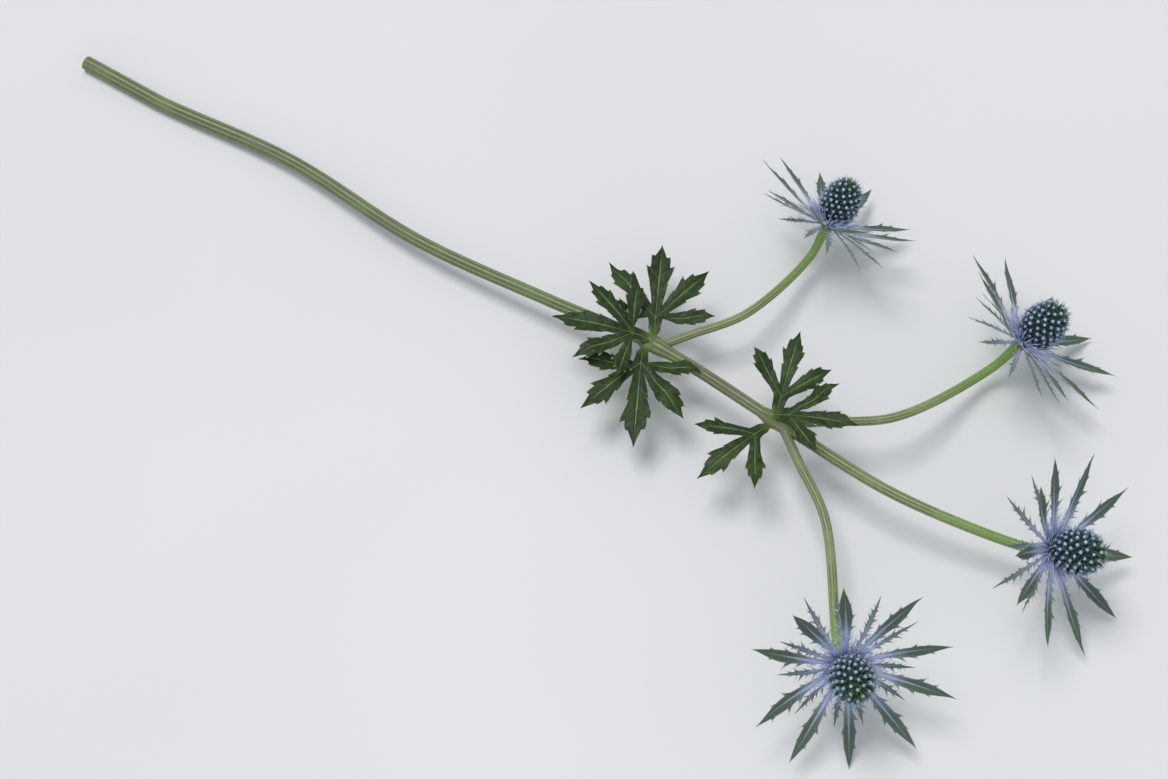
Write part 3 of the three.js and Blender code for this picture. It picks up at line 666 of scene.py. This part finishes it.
def add_spikes(stock, roots, ways, lengths, widths, sag, rows, **each):
    """Puts many thin curved spikes into a stock: rings that taper to a point and droop by sag
    times length squared. The value tip runs from 0 at the foot to 1."""
    t = np.linspace(0.0, 1.0, rows)
    helper = np.where(np.abs(ways[:, 2:3]) > 0.9, np.array([[1.0, 0, 0]]), UP)
    u = unit(np.cross(helper, ways))
    w = np.cross(ways, u)
    mid = roots[:, None, :] + lengths[:, None, None] * t[:, None] * ways[:, None, :]
    mid = mid + sag[:, None, None] * (t**2)[:, None] * w[:, None, :]
    r = widths[:, None] * (1.0 - 0.94 * t**0.8)
    spikes = ring_points(mid, u[:, None], w[:, None], ring_angles(SPIKE_SIDES), r[..., None])
    stock.add_many(spikes, "tip", t, (0.0, 1.0), **each)


def add_spines(stock, blade, rng):
    """Fine bristles of one bract: from the edges of its claw, and for a small bract all along.
    Each leaves the edge aslant, between the way across the blade and the way along it."""
    kind, size = blade["kind"], blade["size"]
    count = 2 * kind["bristles"]
    s = np.tile(np.linspace(BRISTLE_START, kind["bristles_end"], kind["bristles"]), 2)
    s = s + rng.uniform(-0.02, 0.02, count)
    sign = np.repeat([-1.0, 1.0], kind["bristles"])
    at, half = np.array(kind["outline"]).T
    v = sign * (np.interp(s, at, half) - BRISTLE_SUNK) * size
    root = blade_point(blade, s, v)
    along = unit(blade_point(blade, s + 0.01, v) - root)
    across = unit(blade_point(blade, s, v + 0.1) - root) * sign[:, None]
    lean = rng.uniform(0.5, 1.0, count)[:, None]
    aside = rng.uniform(-0.35, 0.35, count)[:, None]
    way = unit(across + lean * along + aside * np.cross(along, across))
    full, lost = kind["fade"]
    long = rng.uniform(BRISTLE_SHORTEST, kind["longest"], count) * (full - lost * s)
    wide, sag = np.full(count, kind["wide"]), rng.uniform(-BRISTLE_SAG, BRISTLE_SAG, count)
    add_spikes(stock, root, way, long * size, wide, sag, 4, frill=1.0, share=s)


def make_bracts(name, size, seed, material):
    """A bloom's collar: its turned disc, its bracts with their bristles, and the frill of fine
    spines that leave the disc all round, under the head."""
    stock = Stock(*bloom_frame(name))
    disc = turned(*np.array(DISC_PROFILE).T, DISC_SIDES)
    stock.add_rings(disc, share=0.02, edge=0.3, off=3.0, under=1.0)
    blades = bract_blades(size, seed)
    for blade in blades:
        add_bract(stock, blade)
    rng = np.random.default_rng(seed)
    for blade in blades:
        add_spines(stock, blade, rng)
    turn = rng.uniform(0.0, TAU, FRILL_COUNT)
    rise = np.radians(rng.uniform(*FRILL_RISE, FRILL_COUNT))
    c, s = np.cos(turn), np.sin(turn)
    height = rng.uniform(*FRILL_HEIGHT, FRILL_COUNT)
    root = np.stack([FRILL_ROOT_R * c, FRILL_ROOT_R * s, height], -1)
    way = np.stack([np.cos(rise) * c, np.cos(rise) * s, np.sin(rise)], -1)
    long = rng.uniform(*FRILL_LENGTH, FRILL_COUNT) * size
    wide = rng.uniform(*FRILL_RADIUS, FRILL_COUNT)
    sag = rng.uniform(-FRILL_SAG, FRILL_SAG, FRILL_COUNT)
    add_spikes(stock, root, way, long, wide, sag, 5, frill=1.0, share=0.1)
    stock.piece(f"bract_collar_{name}", material, f"bracts_{name}")


# ---- head ----
def egg_point(angle, size):
    """Radius and height of the egg at an angle from its lowest end, and the normal's two parts.
    The egg is half an ellipse turned below its widest height, and half a taller one above."""
    reach = np.where(angle < np.pi / 2, HEAD_LOWER, HEAD_UPPER)
    r = HEAD_CORE_R * np.sin(angle)
    z = HEAD_WIDEST - reach * np.cos(angle)
    out, up = r / HEAD_CORE_R**2, (z - HEAD_WIDEST) / reach**2
    length = np.hypot(out, up)
    return r * size, HEAD_BASE + (z - HEAD_BASE) * size, out / length, up / length


def floret_seats(size):
    """The florets' seats, on a golden-angle spiral over the egg at heights that part its surface
    into equal areas: each one's place, normal, two axes across it, size, and height on the head
    as a share."""
    angle = np.linspace(EGG_START, math.pi, EGG_SLICES + 1)
    r, z, _, _ = egg_point(angle, 1.0)
    slices = 0.5 * (r[1:] + r[:-1]) * np.hypot(np.diff(r), np.diff(z))
    area, k = np.append(0.0, np.cumsum(slices)), np.arange(FLORETS)
    wanted = area[-1] * (k + FIRST_FLORET) / (FLORETS + FIRST_FLORET - 0.5)
    angle = np.interp(wanted, area, angle)
    r, z, out, up = egg_point(angle, size)
    turn = np.radians(GOLDEN_ANGLE * k)
    away = np.stack([np.cos(turn), np.sin(turn), np.zeros(FLORETS)], -1)
    normal = away * out[:, None] + UP * up[:, None]
    at = away * r[:, None] + UP * z[:, None]
    u = unit(np.cross(UP, normal))
    grown = size * (1.0 + np.minimum(0.0, up))
    return at, normal, u, np.cross(normal, u), grown, angle / math.pi


def make_head(name, size, seed, material, bristle_material):
    """The head: an egg core with a floret on each seat, and its bristles. A floret is a turned
    shape whose rings swell five times round for its petal tips, turned, leaned and scaled by
    draws."""
    rng = np.random.default_rng(seed + 100)
    seats = floret_seats(size)
    at, normal, u, w, grown, top = seats
    stock = Stock(*bloom_frame(name))
    angle = np.linspace(EGG_START, EGG_END, EGG_ROWS)
    core = turned(*egg_point(angle, size)[:2], EGG_SIDES)
    stock.add_rings(core, tall=0.05, top=(angle / math.pi)[:, None])

    height, radius, petals, colour_place = np.array(FLORET_PROFILE).T[..., None]
    star = np.where(np.arange(FLORET_SIDES) % 2 == 0, 1.0, -1.0)
    ring = radius * (1.0 + petals * star)
    twist = rng.uniform(0.0, TAU, FLORETS)[:, None]
    lean = rng.normal(0.0, FLORET_LEAN, (FLORETS, 2))[..., None, None]
    wide = (grown * rng.uniform(*FLORET_WIDE, FLORETS))[:, None, None]
    tall = (grown * rng.uniform(*FLORET_TALL, FLORETS))[:, None, None]
    angle = (ring_angles(FLORET_SIDES) + twist)[:, None, :]
    x = ring * np.cos(angle) * wide + lean[:, 0] * height
    y = ring * np.sin(angle) * wide + lean[:, 1] * height
    florets = at[:, None, None]
    for length, axis in ((x, u), (y, w), (height * tall, normal)):
        florets = florets + length[..., None] * axis[:, None, None]
    shade = rng.uniform(0.0, 1.0, FLORETS)
    stock.add_many(florets, "tall", colour_place[:, 0], FLORET_ENDS, top=top, shade=shade)
    stock.piece(f"floret_head_{name}", material, f"head_{name}")
    make_bristles(name, seats, rng, bristle_material)


def make_bristles(name, seats, rng, material):
    """The stiff little bracts round every floret, thin spikes that stand about along its normal:
    three long and pale, five short and green, further out."""
    green = np.tile(FLORET_BRISTLES, FLORETS)
    count = len(green)
    at, normal, u, w, grown, top = (np.repeat(part, len(FLORET_BRISTLES), 0) for part in seats)
    spin = rng.uniform(0.0, TAU, count)[:, None]
    off = (1.0 + green * rng.uniform(*GREEN_OUT, count)) * grown
    root = at + off[:, None] * (np.cos(spin) * u + np.sin(spin) * w) - HEAD_BRISTLE_SUNK * normal
    way = unit(normal + rng.normal(0.0, 0.15, (count, 3)) + 0.1 * UP)
    long = HEAD_BRISTLE_LENGTH - GREEN_SHORTER * green + rng.uniform(*HEAD_BRISTLE_DRAW, count)
    long = long * grown + 0.4
    wide = (HEAD_BRISTLE_RADIUS + GREEN_WIDER * green) * grown + 0.07
    sag = rng.uniform(-0.3, 0.3, count)
    stock = Stock(*bloom_frame(name))
    add_spikes(stock, root, way, long, wide, sag, 4, top=top, green=green)
    stock.piece(f"bristles_{name}", material)


# ---- leaves ----
def leaf_grid(size, side, seed):
    """The flat leaf as a walk round its outline. Each step of the walk pairs a point of the
    outline with the point of the midline behind it, so the two together rule the whole blade.
    Returns outline and midline, and the marks of the teeth's points and of their veins."""
    about = dice(seed)
    turns = [-a for a in reversed(side)] + [0] + list(side)
    centre = np.array([LEAF_STALK, 0.0])
    bays = []
    for a, b in zip(turns[:-1], turns[1:]):
        bays.append(centre + LEAF_SINUS * size * about(1.0, 0.1) * plan_way((a + b) / 2))
    foot = np.linspace(0.0, 1.0, FOOT_STEPS)
    half = LEAF_STALK_HALF * (1.1 - 0.7 * foot + 0.8 * foot**2)
    half = half * (0.3 + 0.7 * ease(foot / 0.5 + 0.1))
    long, none = LEAF_STALK * (1.16 * foot - 0.16), np.zeros(FOOT_STEPS)
    bays = [np.array([long[-1], -half[-1]]), *bays, np.array([long[-1], half[-1]])]
    stalk = np.stack([long, none], -1)
    legs = [(np.stack([long, -half], -1), stalk, none, none)]
    s = np.linspace(LOBE_START + 0.03, 1.0, LOBE_STEPS)
    blend = ease((s - LOBE_START) / 0.14)[:, None]
    lag, still = np.linspace(0.0, 1.0, PALM_STEPS)[:, None], np.zeros(PALM_STEPS)
    for k, turn in enumerate(turns):
        forward = plan_way(about(turn, 3))
        aside = np.array([-forward[1], forward[0]])
        length = LEAF_LOBE * size * (1 - LOBE_SHORTER * abs(turn)) * about(1.0, 0.05)
        skew = about(0.0, 0.03)
        # the solid draws five widths here; the finer teeth below draw from dice of their own
        for _ in range(5):
            about(1.0, 0.08)
        spare = dice(seed * 31 + 7 * k)
        narrow = size * (1 - LOBE_NARROWER * abs(turn))
        sides = []
        for sign, bay in ((-1.0, bays[k]), (1.0, bays[k + 1])):
            wide, tip, mark = toothed_edge(s, LOBE, narrow, spare)
            at = s - sign * skew * ease((1.0 - s) / 0.3) + LOBE_SHEAR * wide / length
            rim = centre + length * at[:, None] * forward + sign * wide[:, None] * aside
            sides.append((bay * (1 - blend) + rim * blend, tip, mark))
        start = centre + length * LOBE_START * forward
        middle = centre + length * s[:, None] * forward
        right, left = sides
        # from the palm's middle out to the lobe, up its right side, down its left side and back
        legs += [
            (bays[k] + 0.0 * lag, centre + (start - centre) * lag, still, still),
            (right[0], middle, *right[1:]),
            (left[0][::-1], middle[::-1], left[1][::-1], left[2][::-1]),
            (bays[k + 1] + 0.0 * lag, start + (centre - start) * lag, still, still),
        ]
    legs.append((np.stack([long, half], -1)[::-1], stalk[::-1], none, none))
    return [np.concatenate(part) for part in zip(*legs)]


def make_leaf(name, material):
    """A stem leaf: its flat shape ruled from vein to edge, bent along its length in an arc,
    dished, waved, grooved along its veins, clasping at its foot, and given a thin lens section,
    thickest at the veins."""
    node, seat, foot_out, turn, rise, bend, size, side, seed = LEAVES[name]
    edge, line, tooth, vein = leaf_grid(size, side, seed)
    rho = np.array(LEAF_ACROSS)
    flat = line[:, None, :] * (1 - rho[:, None]) + edge[:, None, :] * rho[:, None]
    u, v = flat[..., 0], flat[..., 1]

    whole = LEAF_STALK + LEAF_LOBE * size
    start, bent = math.radians(rise), math.radians(bend)
    angle = start + bent * u / whole
    along = whole * (np.sin(angle) - math.sin(start)) / bent
    height = whole * (math.cos(start) - np.cos(angle)) / bent
    wave = LEAF_WAVE * np.sin(WAVE_ALONG * u + WAVE_ACROSS * v)
    wave = wave * np.minimum(1.0, np.abs(v) / WAVE_FULL)
    groove = -MID_GROOVE * np.exp(-((rho / GROOVE_SHARE) ** 2))
    groove = groove - SIDE_GROOVE * vein[:, None] * (np.sqrt(rho) * (1 - rho**2))
    wave = LEAF_DISH * np.abs(v) + wave + groove * size
    wave = wave + EDGE_WAVE * rho**2 * np.sin(EDGE_WAVE_ALONG * u + EDGE_WAVE_ACROSS * v)
    wave = wave - CLASP * (1.0 - ease(u / CLASP_LENGTH)) * v**2

    forward = heading(turn, 0)
    aside = np.cross(UP, forward)
    over, across = plan_way(seat)
    foot = NODES[node] + LEAF_BACK * unit(LOWER_NODE - UPPER_NODE)
    foot = foot + np.array([0.0, across, over]) * foot_out
    points = foot + (along - wave * np.sin(angle))[..., None] * forward + v[..., None] * aside
    points = points + (height + wave * np.cos(angle))[..., None] * UP
    normal = np.cos(angle)[..., None] * UP - np.sin(angle)[..., None] * forward
    thick = (LEAF_THICK - LEAF_THINNED * rho**1.5)[:, None]
    section = both_faces(points + normal * (0.5 * thick), points - normal * (0.5 * thick))

    # an open sheet of quads; where its turns meet along the midlines, the weld joins them
    grid = np.arange(section[..., 0].size).reshape(section.shape[:2])
    quads = np.stack([grid[:-1, :-1], grid[1:, :-1], grid[1:, 1:], grid[:-1, 1:]], -1)
    far = np.append(rho, rho[::-1])
    stock = Stock()
    stock.add(
        section, quads, edge=far, under=np.repeat([0.0, 1.0], len(rho)), vein=vein[:, None],
        tooth=tooth[:, None] * ease((far - 0.8) / 0.2), u=both_faces(u, u),
    )
    stock.piece(f"lobed_{name}", material, name, weld=True)


def make_node_rings(material):
    """The swollen ring round each node that the leaves grow from. Its radius is the stem's, plus
    a hump along the stem that is higher under each leaf's foot, by a bell curve of the angle from
    that foot."""
    stock = Stock()
    path, radius = main_path()
    a = ring_angles(RING_SIDES)
    t = np.linspace(-1.0, 1.0, RING_ROWS)[:, None]
    rib = np.abs(np.sin(0.5 * RIBS * a)) ** RIB_POWER
    for node, point in NODES.items():
        middle = point + unit(LOWER_NODE - UPPER_NODE) * (LEAF_BACK - RING_AHEAD)
        near = np.argmin(np.linalg.norm(path - middle, axis=1))
        along = unit(path[near + 4] - path[near - 4])
        across = unit(np.cross(UP, along))
        bare = radius[near] * BARK
        grown = np.full(RING_SIDES, RING_GROWTH)
        for leaf_node, seat, foot_out, *_ in LEAVES.values():
            if leaf_node == node:
                from_foot = a - math.radians(90 - seat)
                from_foot = np.arctan2(np.sin(from_foot), np.cos(from_foot))
                bell = np.exp(-((from_foot / FOOT_BELL) ** 2))
                grown = grown + np.maximum(FOOT_LEAST, foot_out + FOOT_OVER - bare) * bell
        ring = bare - RING_SUNK + (RING_SUNK + grown) * hump(t * 0.98) - RING_FURROW * (1.0 - rib)
        middles = middle + RING_HALF * t * along
        rings = ring_points(middles, across, np.cross(along, across), a, ring)
        stock.add_rings(rings, share=0.5 + 0.5 * t, rib=rib)
    stock.piece("node_rings", material)


# ---- finishes ----
def colour(red, green, blue):
    """An sRGB colour of 0 to 255 as the shader's linear colour."""
    c = np.array([red, green, blue], float) / 255.0
    linear = np.where(c <= 0.04045, c / 12.92, ((c + 0.055) / 1.055) ** 2.4)
    return (*linear, 1.0)


class Finish:
    """A material built node by node on one Principled shader. A share, value or height is a
    socket or a number; a colour is a socket or three sRGB numbers."""

    def __init__(self, name, roughness=0.5, **shader):
        self.material = bpy.data.materials.new(name)
        self.material.use_nodes = True
        self.tree = self.material.node_tree
        self.shader = self.tree.nodes["Principled BSDF"]
        self.shader.inputs["Roughness"].default_value = roughness
        for key, value in shader.items():
            self.shader.inputs[key.replace("_", " ")].default_value = value

    def node(self, kind, inputs, **settings):
        """The outputs of a new node, whose inputs are linked or set by their names or numbers."""
        made = self.tree.nodes.new(kind)
        for key, value in settings.items():
            setattr(made, key, value)
        for key, value in inputs.items():
            if isinstance(value, bpy.types.NodeSocket):
                self.tree.links.new(value, made.inputs[key])
            else:
                made.inputs[key].default_value = value
        return made.outputs

    def values(self, *names):
        """Per-point values of the piece."""
        return [self.node("ShaderNodeAttribute", {}, attribute_name=n)["Fac"] for n in names]

    def math(self, operation, *inputs):
        """One Math node."""
        return self.node("ShaderNodeMath", dict(enumerate(inputs)), operation=operation)[0]

    def times(self, *factors):
        """The product of all factors."""
        product = factors[0]
        for factor in factors[1:]:
            product = self.math("MULTIPLY", product, factor)
        return product

    def plus(self, a, b):
        """The sum of two."""
        return self.math("ADD", a, b)

    def less(self, a, b):
        """The first less the second."""
        return self.math("SUBTRACT", a, b)

    def span(self, value, low, high, to_low=0.0, to_high=1.0):
        """value stretched from low..high to to_low..to_high, smoothly and clamped."""
        inputs = dict(enumerate((value, low, high, to_low, to_high)))
        return self.node("ShaderNodeMapRange", inputs, interpolation_type="SMOOTHSTEP")[0]

    def noise(self, scale, detail=4.0, roughness=0.55):
        """Grain in the piece's own object coordinates, per metre."""
        where = self.node("ShaderNodeTexCoord", {})["Object"]
        inputs = {"Vector": where, "Scale": scale, "Detail": detail, "Roughness": roughness}
        return self.node("ShaderNodeTexNoise", inputs)["Fac"]

    def ramp(self, value, *stops):
        """The colour at a value between stops, each a place and three sRGB numbers."""
        made = self.tree.nodes.new("ShaderNodeValToRGB")
        self.tree.links.new(value, made.inputs[0])
        bar = made.color_ramp.elements
        while len(bar) < len(stops):
            bar.new(0.5)
        for element, (place, *rgb) in zip(bar, stops):
            element.position = place
            element.color = colour(*rgb)
        return made.outputs["Color"]

    def mix(self, share, a, b):
        """Colour a turned into colour b by a share."""
        a, b = (c if isinstance(c, bpy.types.NodeSocket) else colour(*c) for c in (a, b))
        return self.node("ShaderNodeMix", {0: share, 6: a, 7: b}, data_type="RGBA")[2]

    def coats(self, shade, *coats):
        """A shade with coats laid over it one by one, each a share and a colour."""
        for share, tint in coats:
            shade = self.mix(share, shade, tint)
        return shade

    def bump(self, height, distance, strength):
        """Relief on the shader, from a height."""
        inputs = {"Strength": strength, "Distance": distance, "Height": height}
        self.tree.links.new(self.node("ShaderNodeBump", inputs)[0], self.shader.inputs["Normal"])

    def paint(self, shade, roughness=None):
        """The finished material."""
        self.tree.links.new(shade, self.shader.inputs["Base Color"])
        if roughness is not None:
            self.tree.links.new(roughness, self.shader.inputs["Roughness"])
        return self.material


def stem_finish():
    """Waxy green bark: brighter near the blooms, purple-brown stripes along the furrows, fine
    grain, dull-brown patches of painted shadow away from the blooms, and a pale pithy cut face."""
    f = Finish("ribbed green bark")
    rib, run, left, cut = f.values("rib", "run", "left", "cut")
    grain, patch, shadow_cloud = f.noise(900.0, 5.0), f.noise(45.0, 3.0), f.noise(26.0, 2.0, 0.5)
    green = f.ramp(
        f.times(left, 0.006), (0.0, 118, 156, 66), (0.16, 124, 158, 78), (0.42, 142, 158, 106),
        (0.8, 120, 138, 88), (1.0, 112, 130, 82),
    )
    stripe = f.times(f.span(rib, 0.85, 0.3), f.span(patch, 0.36, 0.56), f.span(left, 14.0, 62.0))
    # painted shadow: soft cloudy patches of dull brown laid over the bark away from the blooms
    painted_shadow = f.times(f.span(shadow_cloud, 0.5, 0.66), f.span(left, 24.0, 80.0))
    pith = f.ramp(
        cut, (0.1, 104, 116, 66), (0.2, 142, 150, 92), (0.32, 188, 194, 142),
        (0.55, 218, 220, 184), (1.0, 226, 226, 200),
    )
    pith = f.mix(f.span(grain, 0.4, 0.7, 0.0, 0.3), pith, (150, 148, 100))
    # the dull brown is the colour of the painted shadow patches
    purple_brown, shadow_brown, pale_ridge = (92, 72, 74), (102, 86, 84), (172, 184, 136)
    dark_grain, dry_end = (70, 92, 52), (150, 146, 104)
    shade = f.coats(
        green,
        (f.times(stripe, 0.85), purple_brown),
        (f.times(painted_shadow, 0.5), shadow_brown),
        (f.span(rib, 0.8, 1.0, 0.0, 0.35), pale_ridge),
        (f.span(grain, 0.35, 0.75, 0.0, 0.3), dark_grain),
        (f.span(run, 1.0, 0.1, 0.0, 0.5), dry_end),
        (f.span(cut, 0.05, 0.11), pith),
    )
    f.bump(f.plus(f.times(grain, 0.5), f.times(rib, 0.2)), 0.0002, 0.6)
    return f.paint(shade, f.span(grain, 0.2, 0.8, 0.4, 0.62))


def bract_finish():
    """Leathery bract: lilac-white claw, grey-green blade, pale rib and margin, straw-coloured
    spine tips. Its bristles and the frill are lilac near the head and straw further out."""
    f = Finish("spiny bract", Specular_IOR_Level=0.35)
    share, edge, off, under = f.values("share", "edge", "off", "under")
    tooth, vein, small, own = f.values("tooth", "vein", "small", "shade")
    frill, tip = f.values("frill", "tip")
    grain, patch = f.noise(650.0), f.noise(70.0, 3.0)
    reach = f.plus(share, f.times(f.less(patch, 0.5), 0.24))
    upper = f.ramp(
        reach, (0.0, 184, 194, 238), (0.2, 170, 182, 224), (0.36, 122, 138, 152),
        (0.52, 84, 100, 92), (1.0, 77, 94, 78),
    )
    lower = f.ramp(
        reach, (0.0, 116, 140, 74), (0.14, 120, 142, 92), (0.34, 110, 132, 92), (1.0, 98, 124, 72),
    )
    pale_small = f.mix(under, (164, 178, 198), (138, 152, 142))
    deeper = f.times(f.span(own, 0.0, 1.0, 0.0, 0.25), f.span(reach, 0.3, 0.5))
    half_rib = f.times(f.span(share, 0.05, 0.95, 0.85, 0.14), f.span(small, 0.0, 1.0, 1.0, 0.5))
    rib = f.span(f.less(half_rib, off), -0.16, 0.2)
    pale_rib = f.ramp(share, (0.1, 200, 210, 240), (0.45, 170, 184, 202), (0.85, 138, 156, 150))
    pale_rib = f.mix(under, pale_rib, (134, 156, 112))
    near = f.ramp(tip, (0.0, 160, 172, 222), (0.5, 190, 202, 238), (1.0, 226, 232, 242))
    far = f.ramp(tip, (0.0, 128, 144, 120), (0.4, 178, 184, 176), (1.0, 216, 206, 182))
    deep_green, side_vein, margin = (70, 98, 70), (178, 190, 178), (180, 194, 176)
    bone, straw, dark_grain = (214, 214, 204), (206, 184, 150), (66, 86, 72)
    shade = f.coats(
        f.mix(under, upper, lower),
        (f.times(small, f.span(reach, 0.1, 0.9, 0.7, 0.34)), pale_small),
        (deeper, deep_green),
        (f.times(rib, f.span(share, 1.0, 0.4, 0.35, 0.85)), pale_rib),
        (f.times(vein, f.span(edge, 0.15, 0.6, 0.0, 0.2)), side_vein),
        (f.span(edge, 0.84, 0.97, 0.0, 0.7), margin),
        (f.span(tooth, 0.1, 0.6, 0.0, 0.9), bone),
        (f.span(share, 0.94, 1.0, 0.0, 0.9), straw),
        (f.times(f.span(grain, 0.4, 0.8, 0.0, 0.2), f.span(reach, 0.1, 0.5)), dark_grain),
        (frill, f.mix(f.span(share, 0.28, 0.6), near, far)),
    )
    fine_veins = f.math("SINE", f.plus(f.times(share, 120.0), f.times(edge, -14.0)))
    f.bump(f.plus(f.times(grain, 0.6), f.times(fine_veins, 0.12)), 0.00022, 0.7)
    return f.paint(shade, f.span(grain, 0.2, 0.8, 0.42, 0.62))


def floret_finish():
    """Florets: dark green necks and pale grey-blue knobs; violet low down, olive on the crown."""
    f = Finish("floret", 0.6, Specular_IOR_Level=0.25)
    tall, top, own = f.values("tall", "top", "shade")
    low = f.ramp(
        tall, (0.0, 46, 54, 78), (0.4, 56, 66, 100), (0.66, 100, 116, 156), (0.82, 142, 156, 192),
        (1.0, 186, 200, 218),
    )
    high = f.ramp(
        tall, (0.0, 46, 72, 64), (0.36, 64, 92, 102), (0.6, 100, 126, 154), (0.8, 140, 162, 188),
        (1.0, 180, 202, 216),
    )
    crown = f.ramp(
        tall, (0.0, 64, 84, 40), (0.5, 88, 110, 56), (0.8, 160, 184, 176), (1.0, 182, 204, 200),
    )
    dusky_teal, dull_mouth = (64, 98, 110), (110, 140, 160)
    shade = f.coats(
        f.mix(f.span(top, 0.34, 0.6), low, high),
        (f.span(top, 0.84, 0.97, 0.0, 0.85), crown),
        (f.span(own, 0.0, 1.0, 0.0, 0.24), dusky_teal),
        (f.span(tall, 1.04, 1.12, 0.0, 0.5), dull_mouth),
    )
    f.bump(f.noise(1600.0, 3.0), 0.00012, 0.6)
    return f.paint(shade)


def bristle_finish():
    """Stiff little bracts among the florets: long ones blue with whitish points, short ones green
    with paler points, all greener on the crown."""
    f = Finish("head bristle", Specular_IOR_Level=0.3)
    tip, top, green = f.values("tip", "top", "green")
    long = f.ramp(
        tip, (0.0, 40, 60, 70), (0.4, 90, 112, 144), (0.75, 150, 170, 200), (1.0, 208, 220, 230),
    )
    short = f.ramp(tip, (0.0, 38, 62, 54), (0.6, 60, 92, 84), (1.0, 118, 144, 126))
    crown = f.ramp(tip, (0.0, 52, 74, 40), (0.5, 92, 118, 62), (1.0, 158, 174, 118))
    slate = (70, 92, 104)
    return f.paint(f.coats(
        f.mix(green, long, short),
        (f.span(top, 0.6, 1.0, 0.0, 0.85), crown),
        (f.span(f.noise(800.0), 0.3, 0.8, 0.0, 0.25), slate),
    ))


def leaf_finish():
    """Dark leathery leaf with pale veins to its teeth, a thin pale margin and straw-coloured
    points, and a lighter stalk."""
    f = Finish("lobed leaf", Specular_IOR_Level=0.24)
    edge, under, tooth, vein, u = f.values("edge", "under", "tooth", "vein", "u")
    grain, patch, net = f.noise(700.0), f.noise(60.0, 3.0), f.noise(420.0, 2.0, 0.4)
    upper = f.ramp(patch, (0.3, 28, 45, 22), (0.52, 38, 58, 25), (0.74, 58, 80, 32))
    branch = f.times(f.span(vein, 0.45, 0.95), f.span(edge, 1.0, 0.2, 0.05, 0.4))
    lower_face, net_green, fresh_green = (84, 112, 70), (84, 112, 62), (80, 108, 54)
    midrib, side_vein, margin = (134, 150, 98), (112, 138, 84), (132, 150, 100)
    straw, dark_grain, stalk_green = (206, 196, 156), (24, 42, 22), (104, 126, 64)
    shade = f.coats(
        upper,
        (under, lower_face),
        (f.span(net, 0.46, 0.52, 0.0, 0.12), net_green),
        (f.span(edge, 0.5, 0.0, 0.0, 0.14), fresh_green),
        (f.span(edge, 0.07, 0.025, 0.0, 0.8), midrib),
        (branch, side_vein),
        (f.span(edge, 0.95, 1.0, 0.0, 0.45), margin),
        (f.span(tooth, 0.35, 0.85, 0.0, 0.95), straw),
        (f.span(grain, 0.45, 0.8, 0.0, 0.25), dark_grain),
        (f.span(u, 6.0, -1.0, 0.0, 0.55), stalk_green),
    )
    f.bump(f.plus(f.times(net, 0.5), f.times(grain, 0.6)), 0.0003, 0.7)
    return f.paint(shade, f.span(grain, 0.2, 0.8, 0.34, 0.56))


def node_finish():
    """The ring at a node: olive green, greyer towards its two sides, with brown furrows."""
    f = Finish("node ring")
    share, rib = f.values("share", "rib")
    olive = f.ramp(
        share, (0.0, 120, 134, 88), (0.2, 112, 126, 80), (0.5, 96, 114, 58), (0.8, 112, 126, 80),
        (1.0, 120, 134, 88),
    )
    away = f.math("ABSOLUTE", f.less(share, 0.5))
    stripe = f.times(f.span(rib, 0.85, 0.3), f.span(away, 0.1, 0.4, 0.2, 0.75))
    purple_brown, dark_olive = (94, 78, 74), (78, 88, 50)
    f.bump(f.noise(900.0), 0.0002, 0.6)
    return f.paint(f.coats(
        olive,
        (stripe, purple_brown),
        (f.span(f.noise(500.0), 0.4, 0.8, 0.0, 0.35), dark_olive),
    ))


def table_finish():
    """Plain pale table top."""
    f = Finish("pale table", 0.85)
    return f.paint(f.ramp(f.noise(3.0, 2.0), (0.3, 226, 227, 229), (0.7, 231, 232, 234)))


# ---- set ----
def make_table():
    """A wide flat table top under the stem."""
    mesh = bpy.data.meshes.new("table")
    corners = [(TABLE_HALF * x, TABLE_HALF * y, 0) for x, y in ((-1, -1), (1, -1), (1, 1), (-1, 1))]
    mesh.from_pydata(corners, [], [(0, 1, 2, 3)])
    mesh.materials.append(table_finish())
    put("table", mesh)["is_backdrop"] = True


def make_light():
    """An even pale room, one soft main light from above and a weak one from the front."""
    world = bpy.data.worlds.new("soft room")
    world.use_nodes = True
    room = world.node_tree.nodes["Background"].inputs
    room["Color"].default_value = (0.9, 0.94, 1.0, 1.0)
    room["Strength"].default_value = 0.52
    SCENE.world = world
    for name, source, breadth, strength, tint in (
        ("key", (-0.5, 0.1, 1.4), 28.0, 1.5, (1.0, 0.98, 0.95)),
        ("fill", (1.0, -1.0, 1.0), 60.0, 0.25, (0.92, 0.96, 1.0)),
    ):
        lamp = bpy.data.lights.new(name, "SUN")
        lamp.angle, lamp.energy, lamp.color = math.radians(breadth), strength, tint
        put(name, lamp, source)
    SCENE.view_settings.view_transform = "Standard"


def make_camera():
    """A camera that looks down on the lying stem from the side that its blooms look to."""
    camera = bpy.data.cameras.new("camera")
    camera.sensor_width, camera.lens, camera.clip_start = 36.0, 85.0, 0.01
    away = Vector(heading(CAMERA_TURN, CAMERA_RISE))
    SCENE.camera = put("camera", camera, away)
    SCENE.camera.location = CAMERA_AIM + away * CAMERA_DISTANCE


# ---- making ----
make_camera()
make_light()
make_table()
make_stem(stem_finish())
leaf_skin = leaf_finish()
for leaf_name in LEAVES:
    make_leaf(leaf_name, leaf_skin)
make_node_rings(node_finish())
bract_skin, floret_skin, bristle_skin = bract_finish(), floret_finish(), bristle_finish()
for bloom, (*_, bloom_size, bloom_seed) in BLOOMS.items():
    make_bracts(bloom, bloom_size, bloom_seed, bract_skin)
    make_head(bloom, bloom_size, bloom_seed, floret_skin, bristle_skin)

boxes = {"cad": CAD_BOX, "visual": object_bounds()}
{key: [[float(c) for c in corner] for corner in box] for key, box in boxes.items()}
